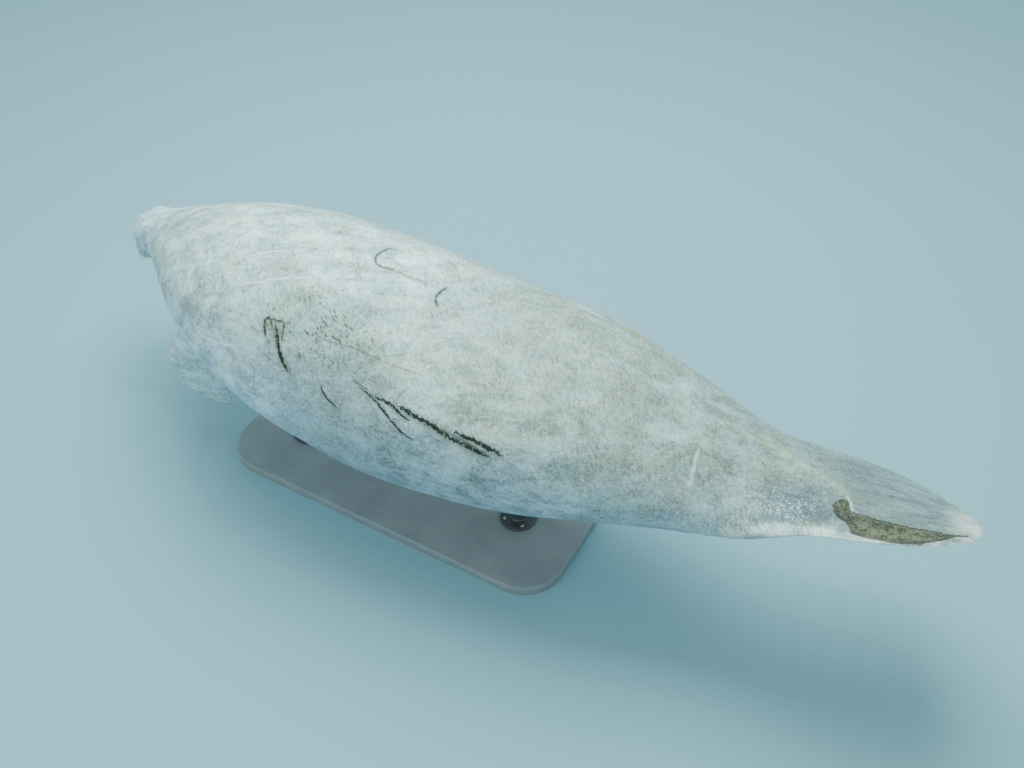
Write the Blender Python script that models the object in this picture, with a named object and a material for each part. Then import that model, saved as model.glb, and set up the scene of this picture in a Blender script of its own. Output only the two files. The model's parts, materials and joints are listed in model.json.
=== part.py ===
"""A Florida manatee at life size, resting just under the water's surface, on a plain display stand.

The head points to -X and is turned to the animal's right, the tail is at +X, the left side is at -Y.
The origin is the middle of the base's underside. The body is one long surface: a spine curve with a
rounded section at each station. It is parted by thin flat gaps into head, neck, torso, tail stock
and paddle, and by the line of the mouth into muzzle and lower jaw.
"""

import bpy
import numpy as np

# Driving sizes, in metres unless a name says otherwise.
LENGTH = 3.0
BODY_HEIGHT = 0.66
BALANCE_SHARE = 0.42
GAP = 0.0003

# Share of the length from the snout, half width on the left and on the right, rise above and drop below the
# spine. The tail twists, so that its left edge flares out sooner.
SECTIONS = (
    (0.000, 0.092, 0.092, 0.078, 0.088),
    (0.030, 0.096, 0.096, 0.084, 0.100),
    (0.060, 0.107, 0.107, 0.096, 0.118),
    (0.090, 0.141, 0.141, 0.120, 0.137),
    (0.140, 0.199, 0.199, 0.164, 0.178),
    (0.200, 0.274, 0.274, 0.220, 0.238),
    (0.270, 0.336, 0.336, 0.278, 0.291),
    (0.350, 0.367, 0.367, 0.316, 0.326),
    (0.450, 0.386, 0.386, 0.316, 0.338),
    (0.550, 0.372, 0.372, 0.285, 0.317),
    (0.650, 0.336, 0.330, 0.232, 0.235),
    (0.720, 0.280, 0.270, 0.165, 0.162),
    (0.780, 0.239, 0.216, 0.109, 0.106),
    (0.820, 0.246, 0.209, 0.066, 0.078),
    (0.870, 0.260, 0.266, 0.039, 0.035),
    (0.920, 0.304, 0.307, 0.027, 0.027),
    (0.960, 0.305, 0.312, 0.019, 0.019),
    (1.000, 0.305, 0.305, 0.010, 0.010),
)
# Share of the length, and the power of the section's rounded outline: 2 is an ellipse.
OUTLINE_POWERS = ((0.0, 2.5), (0.05, 2.45), (0.12, 2.15), (0.76, 2.1), (0.87, 1.6), (1.0, 1.55))
SPINE_HEIGHTS = (
    (0.0, -0.160),
    (0.1, -0.063),
    (0.25, 0.001),
    (0.45, -0.053),
    (0.7, -0.048),
    (0.8, -0.053),
    (0.9, -0.012),
    (1.0, 0.009),
)
SPINE_TURNS = ((0.0, 0.197), (0.12, 0.089), (0.25, -0.014), (0.5, -0.009), (0.75, 0.040), (1.0, 0.112))
# Share of the length, and how far the section rolls, in degrees, its left edge up.
ROLLS = ((0.0, 0.0), (0.4, 0.0), (0.7, 0.0), (0.78, 0.0), (0.86, 17.8), (1.0, 37.0))

SNOUT_ROUND_SHARE = 0.024
SNOUT_ROUND_POWER = 2.6
TIP_ROUND_START = 0.925
TIP_ROUND_POWER = 2.35

# Ends of the lengths of the body, as shares of the whole length.
MUZZLE_END = 0.052
HEAD_END = 0.137
NECK_END = 0.178
TORSO_END = 0.665
STOCK_END = 0.80

# How finely each length is drawn: rings along it and points round it.
NECK_RINGS = 4
TORSO_RINGS = 21
STOCK_RINGS = 8
BODY_AROUND = 40
HEAD_AROUND = 60
FLIPPER_AROUND = 20

# The head's own frame sits on the spine at this share: forward, left and up are measured from there.
HEAD_FRAME_SHARE = 0.03
MOUTH_TOP_FRONT = -0.038
MOUTH_TOP_REAR = -0.022
MOUTH_FLOOR = -0.118
MOUTH_HALF_FRONT = 0.046
MOUTH_HALF_REAR = 0.116
MOUTH_FRONT = 0.08
MOUTH_BACK = -0.065
MOUTH_POWER = 2.2
MOUTH_REACH = 0.060
# Height or depth of a form, how far off the line of the mouth it lies, and how wide it spreads.
LIP_GROOVE = (0.009, 0.0, 0.0065)
LIP_PAD = (0.011, 0.028, 0.020)
LIP_CLEFT_WIDTH = 0.012
CHIN_SET_BACK = 0.026
CHIN_DROP = 0.008

# Places on the head: share of the length, and degrees up from the left side.
NOSTRIL_PLACE = (0.0135, 68.0)
NOSTRIL_RADIUS = 0.0088
NOSTRIL_ARC = 0.019
NOSTRIL_SPREAD = 70.0
NOSTRIL_BULGE = (0.75, 0.65)
EYE_PLACE = (0.085, 20.0)
EYE_RADIUS = 0.0115
EYE_DEPTH = 0.0060
LID_RADIUS = 0.0150
LID_THICKNESS = 0.0060
LID_LIFT = -0.0022
# Soft rises of the face, each at a place, with its reach and height: the first row is on the midline above,
# the second on the throat, and the others are the nostril rims, the brows and the cheeks of both sides.
FACE_RISES = (
    (0.040, 90.0, 0.036, -0.008),
    (0.082, 270.0, 0.055, 0.010),
    (*NOSTRIL_PLACE, 0.024, 0.004),
    (*EYE_PLACE, 0.030, 0.006),
    (0.088, -32.0, 0.045, 0.007),
)

# Flippers: forward of the balance point is -X, out is away from the middle, up is from the spine's datum.
FLIPPER_ROOT = (-0.685, 0.203, -0.131)
FLIPPER_BEND = (-0.735, 0.280, -0.264)
FLIPPER_TIP = (-0.742, 0.110, -0.555)
FLIPPER_LEADING = (-0.85, 0.33, 0.42)
FLIPPER_ROOT_SUNK = 0.075
FLIPPER_SECTIONS = (
    (0.00, 0.098, 0.050),
    (0.14, 0.086, 0.040),
    (0.28, 0.085, 0.034),
    (0.45, 0.091, 0.028),
    (0.62, 0.094, 0.0225),
    (0.78, 0.089, 0.0175),
    (0.90, 0.077, 0.0125),
    (1.00, 0.070, 0.0085),
)
FLIPPER_ROUND_START = 0.80
NAIL_PLACES = ((0.925, 0.52), (0.955, 0.05), (0.925, -0.42))
NAIL_SIZE = (0.0095, 0.0085, 0.0055)
SIDES = ("left", "right")

BASE_SIZE = (1.30, 0.52, 0.035)
BASE_CORNER = 0.14
BASE_EDGE = 0.006
ROD_PLACES = (("front", -0.43), ("rear", 0.42))
ROD_RADIUS = 0.026
ROD_FLANGE = (0.062, 0.010)
ROD_PAD = 0.060
ROD_PAD_DROP = 0.070

SKIN_COLOUR = (0.42, 0.44, 0.40, 1.0)
MUZZLE_COLOUR = (0.40, 0.40, 0.37, 1.0)
PADDLE_COLOUR = (0.30, 0.32, 0.25, 1.0)
EYE_COLOUR = (0.012, 0.010, 0.009, 1.0)
NAIL_COLOUR = (0.52, 0.48, 0.38, 1.0)
BASE_COLOUR = (0.20, 0.21, 0.22, 1.0)
ROD_COLOUR = (0.35, 0.36, 0.37, 1.0)


def spline(table, at, column=1):
    """The natural cubic curve through one column of a table, at the given places."""
    xs = np.array([row[0] for row in table], float)
    ys = np.array([row[column] for row in table], float)
    steps = np.diff(xs)
    slopes = np.diff(ys) / steps
    count = len(xs)
    matrix = np.eye(count)
    right = np.zeros(count)
    for k in range(1, count - 1):
        matrix[k, k - 1 : k + 2] = steps[k - 1], 2 * (steps[k - 1] + steps[k]), steps[k]
        right[k] = 6 * (slopes[k] - slopes[k - 1])
    bends = np.linalg.solve(matrix, right)
    at = np.clip(np.asarray(at, float), xs[0], xs[-1])
    k = np.clip(np.searchsorted(xs, at) - 1, 0, count - 2)
    low, high, step = at - xs[k], xs[k + 1] - at, steps[k]
    straight = ys[k] * high / step + ys[k + 1] * low / step
    curved = bends[k] * (high**3 / step - high * step) + bends[k + 1] * (low**3 / step - low * step)
    return straight + curved / 6


def eased(low, high, value):
    """0 below low, 1 above high, and a smooth rise between."""
    t = np.clip((value - low) / (high - low), 0, 1)
    return t * t * (3 - 2 * t)


def unit(vectors):
    return vectors / np.linalg.norm(vectors, axis=-1, keepdims=True)


def spine(share):
    """The spine's point at each share of the length."""
    share = np.asarray(share, float)
    along = (share - BALANCE_SHARE) * LENGTH
    height = spline(SPINE_HEIGHTS, share) + BODY_HEIGHT
    return np.stack([along, spline(SPINE_TURNS, share), height], -1)


def section_axes(share):
    """The directions to the tail, to the animal's left and up, of the section at each share."""
    step = 1e-4
    tail = unit(spine(share + step) - spine(share - step))
    left = unit(np.cross(tail, (0.0, 0.0, 1.0)))
    up = np.cross(left, tail)
    roll = np.radians(spline(ROLLS, share))[..., None]
    return tail, left * np.cos(roll) + up * np.sin(roll), up * np.cos(roll) - left * np.sin(roll)


def end_rounding(share):
    """The factors that close the section at the snout and the paddle's tip, each a rounded outline."""
    snout = 1 - np.clip(share / SNOUT_ROUND_SHARE, 0, 1)
    tip = np.clip((share - TIP_ROUND_START) / (1 - TIP_ROUND_START), 0, 1)
    return (
        (1 - snout**SNOUT_ROUND_POWER) ** (1 / SNOUT_ROUND_POWER),
        (1 - tip**TIP_ROUND_POWER) ** (1 / TIP_ROUND_POWER),
    )


def plain_skin(share, angle):
    """The body's surface before the face's forms. Angle 0 is the left side and 90 the back, in degrees."""
    share, angle = np.broadcast_arrays(np.asarray(share, float), np.asarray(angle, float))
    snout, tip = end_rounding(share)
    left_half, right_half = (spline(SECTIONS, share, column) * snout * tip for column in (1, 2))
    rise, drop = (spline(SECTIONS, share, column) * snout for column in (3, 4))
    power = 2 / np.interp(share, *zip(*OUTLINE_POWERS))
    turn = np.radians(angle)
    across = np.sign(np.cos(turn)) * np.abs(np.cos(turn)) ** power
    upward = np.sign(np.sin(turn)) * np.abs(np.sin(turn)) ** power
    half = np.where(across > 0, left_half, right_half)
    tall = np.where(upward > 0, rise, drop)
    _, left, up = section_axes(share)
    return spine(share) + left * (half * across)[..., None] + up * (tall * upward)[..., None]


def outward(share, angle):
    """The surface's outward direction, from its slopes along the body and round it."""
    ahead = plain_skin(share + 2e-4, angle) - plain_skin(np.maximum(share - 2e-4, 1e-6), angle)
    round_it = plain_skin(share, angle + 0.5) - plain_skin(share, angle - 0.5)
    return unit(np.cross(ahead, round_it))


def head_frame():
    """The head's origin on the spine, and its forward, left and up directions."""
    tail, left, up = section_axes(np.float64(HEAD_FRAME_SHARE))
    return spine(np.float64(HEAD_FRAME_SHARE)), np.stack([-tail, left, up])


def mouth_arch(forward):
    """The mouth's half width and top: narrow and low at the front, wide and higher at its corners."""
    ends = (MOUTH_BACK, MOUTH_FRONT)
    half = np.interp(forward, ends, (MOUTH_HALF_REAR, MOUTH_HALF_FRONT))
    return half, np.interp(forward, ends, (MOUTH_TOP_REAR, MOUTH_TOP_FRONT))


def off_mouth(local):
    """How far a point in the head's frame lies outside the arch of the mouth, negative inside it."""
    forward, left, up = local[..., 0], local[..., 1], local[..., 2]
    half, top = mouth_arch(forward)
    across = np.abs(left) / half
    upward = np.maximum(up - MOUTH_FLOOR, 0) / (top - MOUTH_FLOOR)
    return ((across**MOUTH_POWER + upward**MOUTH_POWER) ** (1 / MOUTH_POWER) - 1) * MOUTH_REACH


def bell(value, middle, width):
    """1 at the middle, falling away smoothly over the width."""
    return np.exp(-(((value - middle) / width) ** 2))


def both_sides(angle):
    """The angle and its mirror image on the right side, once only on the midline."""
    return (angle,) if angle % 180 == 90 else (angle, 180 - angle)


def skin(share, angle):
    """The body's surface with the lips, chin, nostril rims and brows raised on the head."""
    share, angle = np.broadcast_arrays(np.asarray(share, float), np.asarray(angle, float))
    points = plain_skin(share, angle)
    if share.min() > HEAD_END:
        return points
    origin, axes = head_frame()
    local = (points - origin) @ axes.T
    forward, left, up = local[..., 0], local[..., 1], local[..., 2]
    off = off_mouth(local)
    opened = eased(MOUTH_BACK, MOUTH_BACK + 0.035, forward) * eased(0.02, -0.01, up)
    front = eased(-0.03, 0.05, forward)
    pads = front * (1 - 0.6 * bell(left, 0.0, LIP_CLEFT_WIDTH))
    raised = LIP_PAD[0] * bell(off, *LIP_PAD[1:]) * pads * opened
    raised -= LIP_GROOVE[0] * bell(off, *LIP_GROOVE[1:]) * opened
    for at, turn, reach, height in FACE_RISES:
        for side_turn in both_sides(turn):
            apart = np.linalg.norm(points - plain_skin(at, side_turn), axis=-1)
            raised += height * bell(apart, 0.0, reach)
    raised *= eased(HEAD_END, HEAD_END - 0.02, share)
    chin = (eased(-0.005, 0.012, -off) * eased(-0.02, 0.055, forward))[..., None]
    chin_shift = -axes[0] * CHIN_SET_BACK - axes[2] * CHIN_DROP
    return points + outward(share, angle) * raised[..., None] + chin_shift * chin


def closed_rings(rings, start=None, end=None):
    """Points and faces of a closed solid over rings of points, fanned shut at both ends."""
    rings = np.asarray(rings, float)
    count, around = rings.shape[:2]
    start = rings[0].mean(axis=0) if start is None else start
    end = rings[-1].mean(axis=0) if end is None else end
    points = np.concatenate([rings.reshape(-1, 3), [start, end]])
    first = np.arange(count * around).reshape(count, around)
    after = np.roll(first, -1, axis=1)
    sides = np.stack([first[:-1], first[1:], after[1:], after[:-1]], -1).reshape(-1, 4)
    caps = [(count * around, int(a), int(b)) for a, b in zip(first[0], after[0])]
    caps += [(count * around + 1, int(b), int(a)) for a, b in zip(first[-1], after[-1])]
    faces = sides.tolist() + caps
    a, b, c = (points[sides[:, k]] for k in range(3))
    middle = points.mean(axis=0)
    turned = np.einsum("ij,ij->i", np.cross(b - a, c - a), a - middle).sum()
    if turned < 0:
        faces = [face[::-1] for face in faces]
    return points, faces


def plain_material(name, colour, roughness, metallic=0.0):
    material = bpy.data.materials.new(name)
    material.use_nodes = True
    shader = material.node_tree.nodes["Principled BSDF"]
    shader.inputs["Base Color"].default_value = colour
    shader.inputs["Roughness"].default_value = roughness
    shader.inputs["Metallic"].default_value = metallic
    material.diffuse_color = colour
    return material


def make_object(name, solid, material=None, smooth_under=50):
    """An object from points and faces, shaded smooth where its faces meet at less than the angle."""
    mesh = bpy.data.meshes.new(name)
    mesh.from_pydata([tuple(point) for point in solid[0]], [], solid[1])
    mesh.shade_smooth()
    mesh.set_sharp_from_angle(angle=np.radians(smooth_under))
    if material:
        mesh.materials.append(material)
    made = bpy.data.objects.new(name, mesh)
    bpy.context.scene.collection.objects.link(made)
    return made


def helper(name, solid):
    """A cutter or other helper, which isn't part of the model."""
    made = make_object(name, solid)
    made.hide_render = True
    made.display_type = "WIRE"
    return made


def boolean(made, other, operation):
    modifier = made.modifiers.new(f"{operation.lower()} {other.name}", "BOOLEAN")
    modifier.operation = operation
    modifier.solver = "EXACT"
    modifier.object = other


def body_rings(shares, around, grown=0.0):
    """Rings of the skin at the given shares, grown outward for a cutter."""
    shares = np.asarray(shares, float)[:, None]
    angles = np.arange(around) * 360.0 / around
    rings = skin(shares, angles)
    return rings + outward(shares, angles) * grown


def stations(start, end, count):
    """Stations along one length of the body, half a gap short at each end."""
    trim = GAP / 2 / LENGTH
    return np.linspace(start + trim, end - trim, count)


def body_length(name, shares, material):
    """One length of the body between two flat ends."""
    return make_object(name, closed_rings(body_rings(shares, BODY_AROUND)), material)


def head_shares():
    """Stations down the head, close together where the snout rounds off."""
    rounding = np.radians(np.linspace(10, 90, 9))
    front = SNOUT_ROUND_SHARE * (1 - np.cos(rounding))
    middle = np.linspace(SNOUT_ROUND_SHARE, 0.078, 14)[1:]
    back = np.linspace(0.078, HEAD_END - GAP / 2 / LENGTH, 7)[1:]
    return np.concatenate([front, middle, back])


def jaw_cutter(grown):
    """The space of the lower jaw: an arch drawn along the head from behind the mouth to past the chin."""
    origin, axes = head_frame()
    rings = []
    places = np.concatenate([np.linspace(MOUTH_BACK, MOUTH_FRONT, 8), [MOUTH_FRONT + 0.08]])
    places[0] -= grown
    for forward in places:
        turn = np.radians(np.linspace(0, 180, 21))
        across = np.sign(np.cos(turn)) * np.abs(np.cos(turn)) ** (2 / MOUTH_POWER)
        half, top = mouth_arch(forward)
        left = (half + grown) * across
        tall = top - MOUTH_FLOOR + grown
        up = MOUTH_FLOOR + tall * np.sin(turn) ** (2 / MOUTH_POWER)
        low = MOUTH_FLOOR - 0.12
        ring = [(forward, x, z) for x, z in zip(left, up)]
        ring += [(forward, left[-1], low), (forward, left[0], low)]
        rings.append(ring)
    return closed_rings(np.array(rings) @ axes + origin)


def ahead_of(share, grown):
    """A block that holds all of the head ahead of the plane across the spine at a share."""
    tail, left, up = section_axes(np.float64(share))
    middle = spine(np.float64(share)) + tail * grown
    half, reach = 0.4, 0.5
    corners = [left * a * half + up * b * half for a, b in ((1, 1), (-1, 1), (-1, -1), (1, -1))]
    return closed_rings([[middle + corner - tail * far for corner in corners] for far in (0, reach)])


def ball(centre, radius, stretch=(1, 1, 1), axes=np.eye(3), across=12, along=7):
    """A closed ball or egg, its pole along the first axis."""
    turns = np.arange(across) * 2 * np.pi / across
    tilts = np.pi * np.arange(1, along) / along
    x = np.cos(tilts)[:, None] * np.ones(across) * stretch[0]
    y = np.sin(tilts)[:, None] * np.cos(turns) * stretch[1]
    z = np.sin(tilts)[:, None] * np.sin(turns) * stretch[2]
    rings = (np.stack([x, y, z], -1) * radius) @ axes + centre
    poles = [centre + axes[0] * radius * stretch[0] * sign for sign in (1, -1)]
    return closed_rings(rings, *poles)


def tube(path, radii, upright, around=10):
    """A closed tube, round in section, along a path that lies across one upright direction."""
    path = np.asarray(path, float)
    along = unit(np.gradient(path, axis=0))
    aside = unit(np.cross(along, upright))
    other = np.cross(along, aside)
    turns = np.arange(around) * 2 * np.pi / around
    radii = np.asarray(radii, float)[:, None, None]
    circle = aside[:, None] * np.cos(turns)[:, None] + other[:, None] * np.sin(turns)[:, None]
    return closed_rings(path[:, None] + circle * radii)


def ring_of(centre, normal, towards, radius, thickness, lift):
    """A closed ring lying on the surface: a circle of small circles, joined end to end."""
    first = unit(towards - normal * (towards @ normal))
    second = np.cross(normal, first)
    count, around = 16, 7
    turns = np.arange(count) * 2 * np.pi / count
    small = np.arange(around) * 2 * np.pi / around
    ray = first * np.cos(turns)[:, None] + second * np.sin(turns)[:, None] * 0.86
    rings = (
        centre
        + ray[:, None] * (radius + thickness * np.cos(small))[None, :, None]
        + normal * (lift + thickness * 0.8 * np.sin(small))[None, :, None]
    )
    points = rings.reshape(-1, 3)
    index = np.arange(count * around).reshape(count, around)
    across, round_it = np.roll(index, -1, axis=0), np.roll(index, -1, axis=1)
    both = np.roll(across, -1, axis=1)
    faces = np.stack([index, across, both, round_it], -1).reshape(-1, 4)
    return points, faces.tolist()


def surface_place(place, side):
    """A point on the finished skin and its outward direction, on the left side or, for side 1, the right."""
    share, angle = np.float64(place[0]), np.float64(both_sides(place[1])[side])
    return skin(share, angle), outward(share, angle)


def build_head(skins):
    """Muzzle, head and lower jaw, parted by the mouth and by a plane behind the lip pads, and the eyes."""
    shares = head_shares()
    rings = body_rings(shares, HEAD_AROUND)
    snout = skin(np.float64(1e-6), np.float64(90.0))
    solid = closed_rings(rings, start=snout)
    head = make_object("head", solid, skins["skin"])
    muzzle = make_object("muzzle", solid, skins["muzzle"])
    jaw = make_object("lower_jaw", solid, skins["muzzle"])
    boolean(jaw, helper("jaw_space", jaw_cutter(0.0)), "INTERSECT")
    parting = helper("jaw_parting", jaw_cutter(GAP))
    boolean(muzzle, parting, "DIFFERENCE")
    boolean(muzzle, helper("front_space", ahead_of(MUZZLE_END, -GAP / 2)), "INTERSECT")
    boolean(head, parting, "DIFFERENCE")
    boolean(head, helper("front_parting", ahead_of(MUZZLE_END, GAP / 2)), "DIFFERENCE")
    tail = section_axes(np.float64(EYE_PLACE[0]))[0]
    for side, name in enumerate(SIDES):
        place, normal = surface_place(EYE_PLACE, side)
        lids = ring_of(place, normal, tail, LID_RADIUS, LID_THICKNESS, LID_LIFT)
        boolean(head, helper(f"lids_{name}", lids), "UNION")
        centre = place - normal * EYE_DEPTH
        across = unit(np.cross(normal, tail))
        axes = np.stack([normal, across, np.cross(normal, across)])
        boolean(head, helper(f"socket_{name}", ball(centre, EYE_RADIUS + GAP, axes=axes)), "DIFFERENCE")
        make_object(f"eye_{name}", ball(centre, EYE_RADIUS, axes=axes), skins["eye"])
        boolean(muzzle, helper(f"nostril_{name}", nostril_cutter(side)), "DIFFERENCE")


def nostril_cutter(side):
    """A half-moon pit: a tapered tube bent round the back and outer side of the nostril's valve."""
    place, normal = surface_place(NOSTRIL_PLACE, side)
    forward, left, _ = head_frame()[1]
    bulge = -forward * NOSTRIL_BULGE[0] + left * NOSTRIL_BULGE[1] * (-1 if side else 1)
    bulge = unit(bulge - normal * (bulge @ normal))
    aside = np.cross(normal, bulge)
    turns = np.radians(np.linspace(-NOSTRIL_SPREAD, NOSTRIL_SPREAD, 9))
    middle = place - bulge * NOSTRIL_ARC * 0.75
    ray = bulge * np.cos(turns)[:, None] + aside * np.sin(turns)[:, None]
    return tube(middle + ray * NOSTRIL_ARC, NOSTRIL_RADIUS * np.cos(turns), normal)


def flipper_path(side, shares):
    """The flipper's middle line: a curve pulled from the root to the tip by the bend, sunk in the body."""
    mirror = np.array([1.0, 1.0 if side else -1.0, 1.0])
    lift = np.array([0.0, 0.0, BODY_HEIGHT])
    root, bend, tip = (np.array(p) * mirror + lift for p in (FLIPPER_ROOT, FLIPPER_BEND, FLIPPER_TIP))
    root = root - unit(bend - root) * FLIPPER_ROOT_SUNK
    t = np.asarray(shares, float)[:, None]
    path = (1 - t) ** 2 * root + 2 * t * (1 - t) * bend + t * t * tip
    along = unit(2 * (1 - t) * (bend - root) + 2 * t * (tip - bend))
    lead = np.array(FLIPPER_LEADING) * mirror
    lead = unit(lead - along * (along @ lead)[:, None])
    return path, lead, np.cross(along, lead) * (1 if side else -1)


def flipper_surface(side, shares, turns, grown=0.0):
    """The flipper: a flat oval carried down the middle line, its tip rounded like a paddle."""
    shares = np.asarray(shares, float)
    path, lead, outer = flipper_path(side, shares)
    tip = np.clip((shares - FLIPPER_ROUND_START) / (1 - FLIPPER_ROUND_START), 0, 1)
    closing = np.sqrt(np.maximum(1 - tip**2.2, 1e-6))
    half = (spline(FLIPPER_SECTIONS, shares, 1) * closing + grown)[:, None, None]
    thick = (spline(FLIPPER_SECTIONS, shares, 2) * closing**0.5 + grown)[:, None, None]
    across = np.cos(turns)
    upward = np.sign(np.sin(turns)) * np.abs(np.sin(turns)) ** 1.1
    return path[:, None] + lead[:, None] * half * across[:, None] + outer[:, None] * thick * upward[:, None]


def flipper_solid(side, grown=0.0):
    rounding = np.sin(np.radians(np.linspace(0, 84, 7)))
    far = FLIPPER_ROUND_START + (1 - FLIPPER_ROUND_START) * rounding
    shares = np.concatenate([np.linspace(0, FLIPPER_ROUND_START, 11)[:-1], far])
    turns = np.arange(FLIPPER_AROUND) * 2 * np.pi / FLIPPER_AROUND
    tip = flipper_path(side, [1.0])[0][0]
    return closed_rings(flipper_surface(side, shares, turns, grown), end=tip)


def build_flippers(skins):
    """Each flipper cut to sit on the body, and three nails cut to sit on its outer face."""
    body = helper("body_parting", body_cutter())
    for side, name in enumerate(SIDES):
        flipper = make_object(f"flipper_{name}", flipper_solid(side), skins["skin"])
        boolean(flipper, body, "DIFFERENCE")
        parting = helper(f"nail_parting_{name}", flipper_solid(side, GAP))
        for number, (along, across) in enumerate(NAIL_PLACES, 1):
            turn = np.arccos(across)
            place = flipper_surface(side, [along], np.array([turn]))[0, 0]
            _, lead, outer = flipper_path(side, [along])
            axes = np.stack([np.cross(outer[0], lead[0]), lead[0], outer[0]])
            egg = ball(place, 1.0, (NAIL_SIZE[0], NAIL_SIZE[1], NAIL_SIZE[2]), axes, 12, 6)
            nail = make_object(f"nail_{name}_{number}", egg, skins["nail"])
            boolean(nail, parting, "DIFFERENCE")


def neck_stations():
    return stations(HEAD_END, NECK_END, NECK_RINGS)


def torso_stations():
    return stations(NECK_END, TORSO_END, TORSO_RINGS)


def body_cutter():
    """Neck and torso as one solid, a gap larger than they are."""
    shares = np.concatenate([neck_stations(), torso_stations()])
    return closed_rings(body_rings(shares, BODY_AROUND, GAP))


def build_body(skins):
    body_length("neck", neck_stations(), skins["skin"])
    body_length("torso", torso_stations(), skins["skin"])
    body_length("tail_stock", stations(TORSO_END, STOCK_END, STOCK_RINGS), skins["skin"])
    rounding = np.sin(np.radians(np.linspace(0, 86, 9)))
    far = TIP_ROUND_START + (1 - TIP_ROUND_START) * rounding
    near = np.linspace(STOCK_END + GAP / 2 / LENGTH, TIP_ROUND_START, 9)[:-1]
    rings = body_rings(np.concatenate([near, far]), BODY_AROUND)
    make_object("tail_paddle", closed_rings(rings, end=spine(np.float64(1.0))), skins["paddle"])


def turned(centre, profile, around=24):
    """A turned solid: the profile is (radius, height) from the bottom up."""
    turns = np.arange(around) * 2 * np.pi / around
    rings = [
        [(centre[0] + r * np.cos(a), centre[1] + r * np.sin(a), height) for a in turns] for r, height in profile
    ]
    return closed_rings(rings)


def build_stand(metal, board):
    """A flat base with round corners, and two rods whose padded heads are cut to the belly."""
    long, wide, tall = (size / 2 for size in BASE_SIZE)
    steps = np.radians(np.linspace(0, 90, 9))
    outlines = []
    for inset, height in ((0.0, 0.0), (0.0, 2 * tall - BASE_EDGE), (BASE_EDGE, 2 * tall)):
        outline = []
        for quarter, (x, y) in enumerate(((1, 1), (-1, 1), (-1, -1), (1, -1))):
            turns = steps + quarter * np.pi / 2
            reach = BASE_CORNER - inset
            for a in turns:
                point = (x * (long - BASE_CORNER), y * (wide - BASE_CORNER))
                outline.append((point[0] + reach * np.cos(a), point[1] + reach * np.sin(a), height))
        outlines.append(outline)
    make_object("stand_base", closed_rings(outlines), board, 30)
    floor = BASE_SIZE[2] + GAP
    belly_space = helper("belly_parting", body_cutter())
    for name, along in ROD_PLACES:
        share = BALANCE_SHARE + along / LENGTH
        middle = spine(np.float64(share))
        belly = skin(np.float64(share), np.float64(270.0))[2]
        radius, thick = ROD_FLANGE
        profile = (
            (radius, floor),
            (radius, floor + thick),
            (ROD_RADIUS, floor + thick + 0.004),
            (ROD_RADIUS, belly - ROD_PAD_DROP),
            (ROD_PAD * 0.82, belly - ROD_PAD_DROP / 2),
            (ROD_PAD, belly - ROD_PAD_DROP / 4),
            (ROD_PAD, belly + 0.06),
        )
        rod = make_object(f"stand_rod_{name}", turned((along, middle[1]), profile), metal, 30)
        boolean(rod, belly_space, "DIFFERENCE")


def main():
    for old in list(bpy.data.objects):
        bpy.data.objects.remove(old)
    skins = {
        "skin": plain_material("manatee skin", SKIN_COLOUR, 0.75),
        "muzzle": plain_material("muzzle skin", MUZZLE_COLOUR, 0.7),
        "paddle": plain_material("paddle skin", PADDLE_COLOUR, 0.6),
        "eye": plain_material("wet dark eye", EYE_COLOUR, 0.08),
        "nail": plain_material("pale nail", NAIL_COLOUR, 0.45),
    }
    build_head(skins)
    build_body(skins)
    build_flippers(skins)
    metal = plain_material("satin grey rod", ROD_COLOUR, 0.4, 0.7)
    board = plain_material("painted base", BASE_COLOUR, 0.55)
    build_stand(metal, board)


main()
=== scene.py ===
"""A life-size display manatee: skin, eyes, nails, bristles and hairs, its stand, and the studio around it.

A place on the body is a share of its length, 0 at the snout and 1 at the paddle's tip, and a turn in degrees
round the section: 0 is the animal's left side, 90 the back, 180 the right side and 270 the belly. The head
points to -X, the left side is at -Y, and the origin is the middle of the base's underside. Lengths are metres.
"""

import json

import bpy
import numpy as np
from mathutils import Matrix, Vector

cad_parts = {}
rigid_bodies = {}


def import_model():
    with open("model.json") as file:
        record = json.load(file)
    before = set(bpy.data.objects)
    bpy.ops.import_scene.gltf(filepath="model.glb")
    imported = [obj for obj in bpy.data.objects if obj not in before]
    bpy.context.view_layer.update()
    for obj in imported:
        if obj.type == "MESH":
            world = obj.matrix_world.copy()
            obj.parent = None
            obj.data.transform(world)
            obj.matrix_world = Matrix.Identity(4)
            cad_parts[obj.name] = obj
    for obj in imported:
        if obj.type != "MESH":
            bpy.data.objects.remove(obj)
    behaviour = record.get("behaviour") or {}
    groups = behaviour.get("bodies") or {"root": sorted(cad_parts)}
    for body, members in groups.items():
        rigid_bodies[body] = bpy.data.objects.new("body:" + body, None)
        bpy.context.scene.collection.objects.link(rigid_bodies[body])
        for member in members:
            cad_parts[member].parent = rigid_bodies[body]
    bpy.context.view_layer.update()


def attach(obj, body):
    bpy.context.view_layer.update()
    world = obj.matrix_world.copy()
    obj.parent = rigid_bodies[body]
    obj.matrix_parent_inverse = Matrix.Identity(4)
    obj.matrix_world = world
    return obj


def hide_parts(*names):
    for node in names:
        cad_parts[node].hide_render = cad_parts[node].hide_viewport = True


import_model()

bl_info = {
    "name": "Display manatee",
    "version": (1, 0, 0),
    "blender": (4, 5, 0),
    "location": "3D view, sidebar, Manatee",
    "description": "Builds a life-size manatee on a display stand, piece by piece",
    "category": "Object",
}

# The body's driving sizes, the same as in the solids.
LENGTH = 3.0
BODY_HEIGHT = 0.66
BALANCE_SHARE = 0.42
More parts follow.
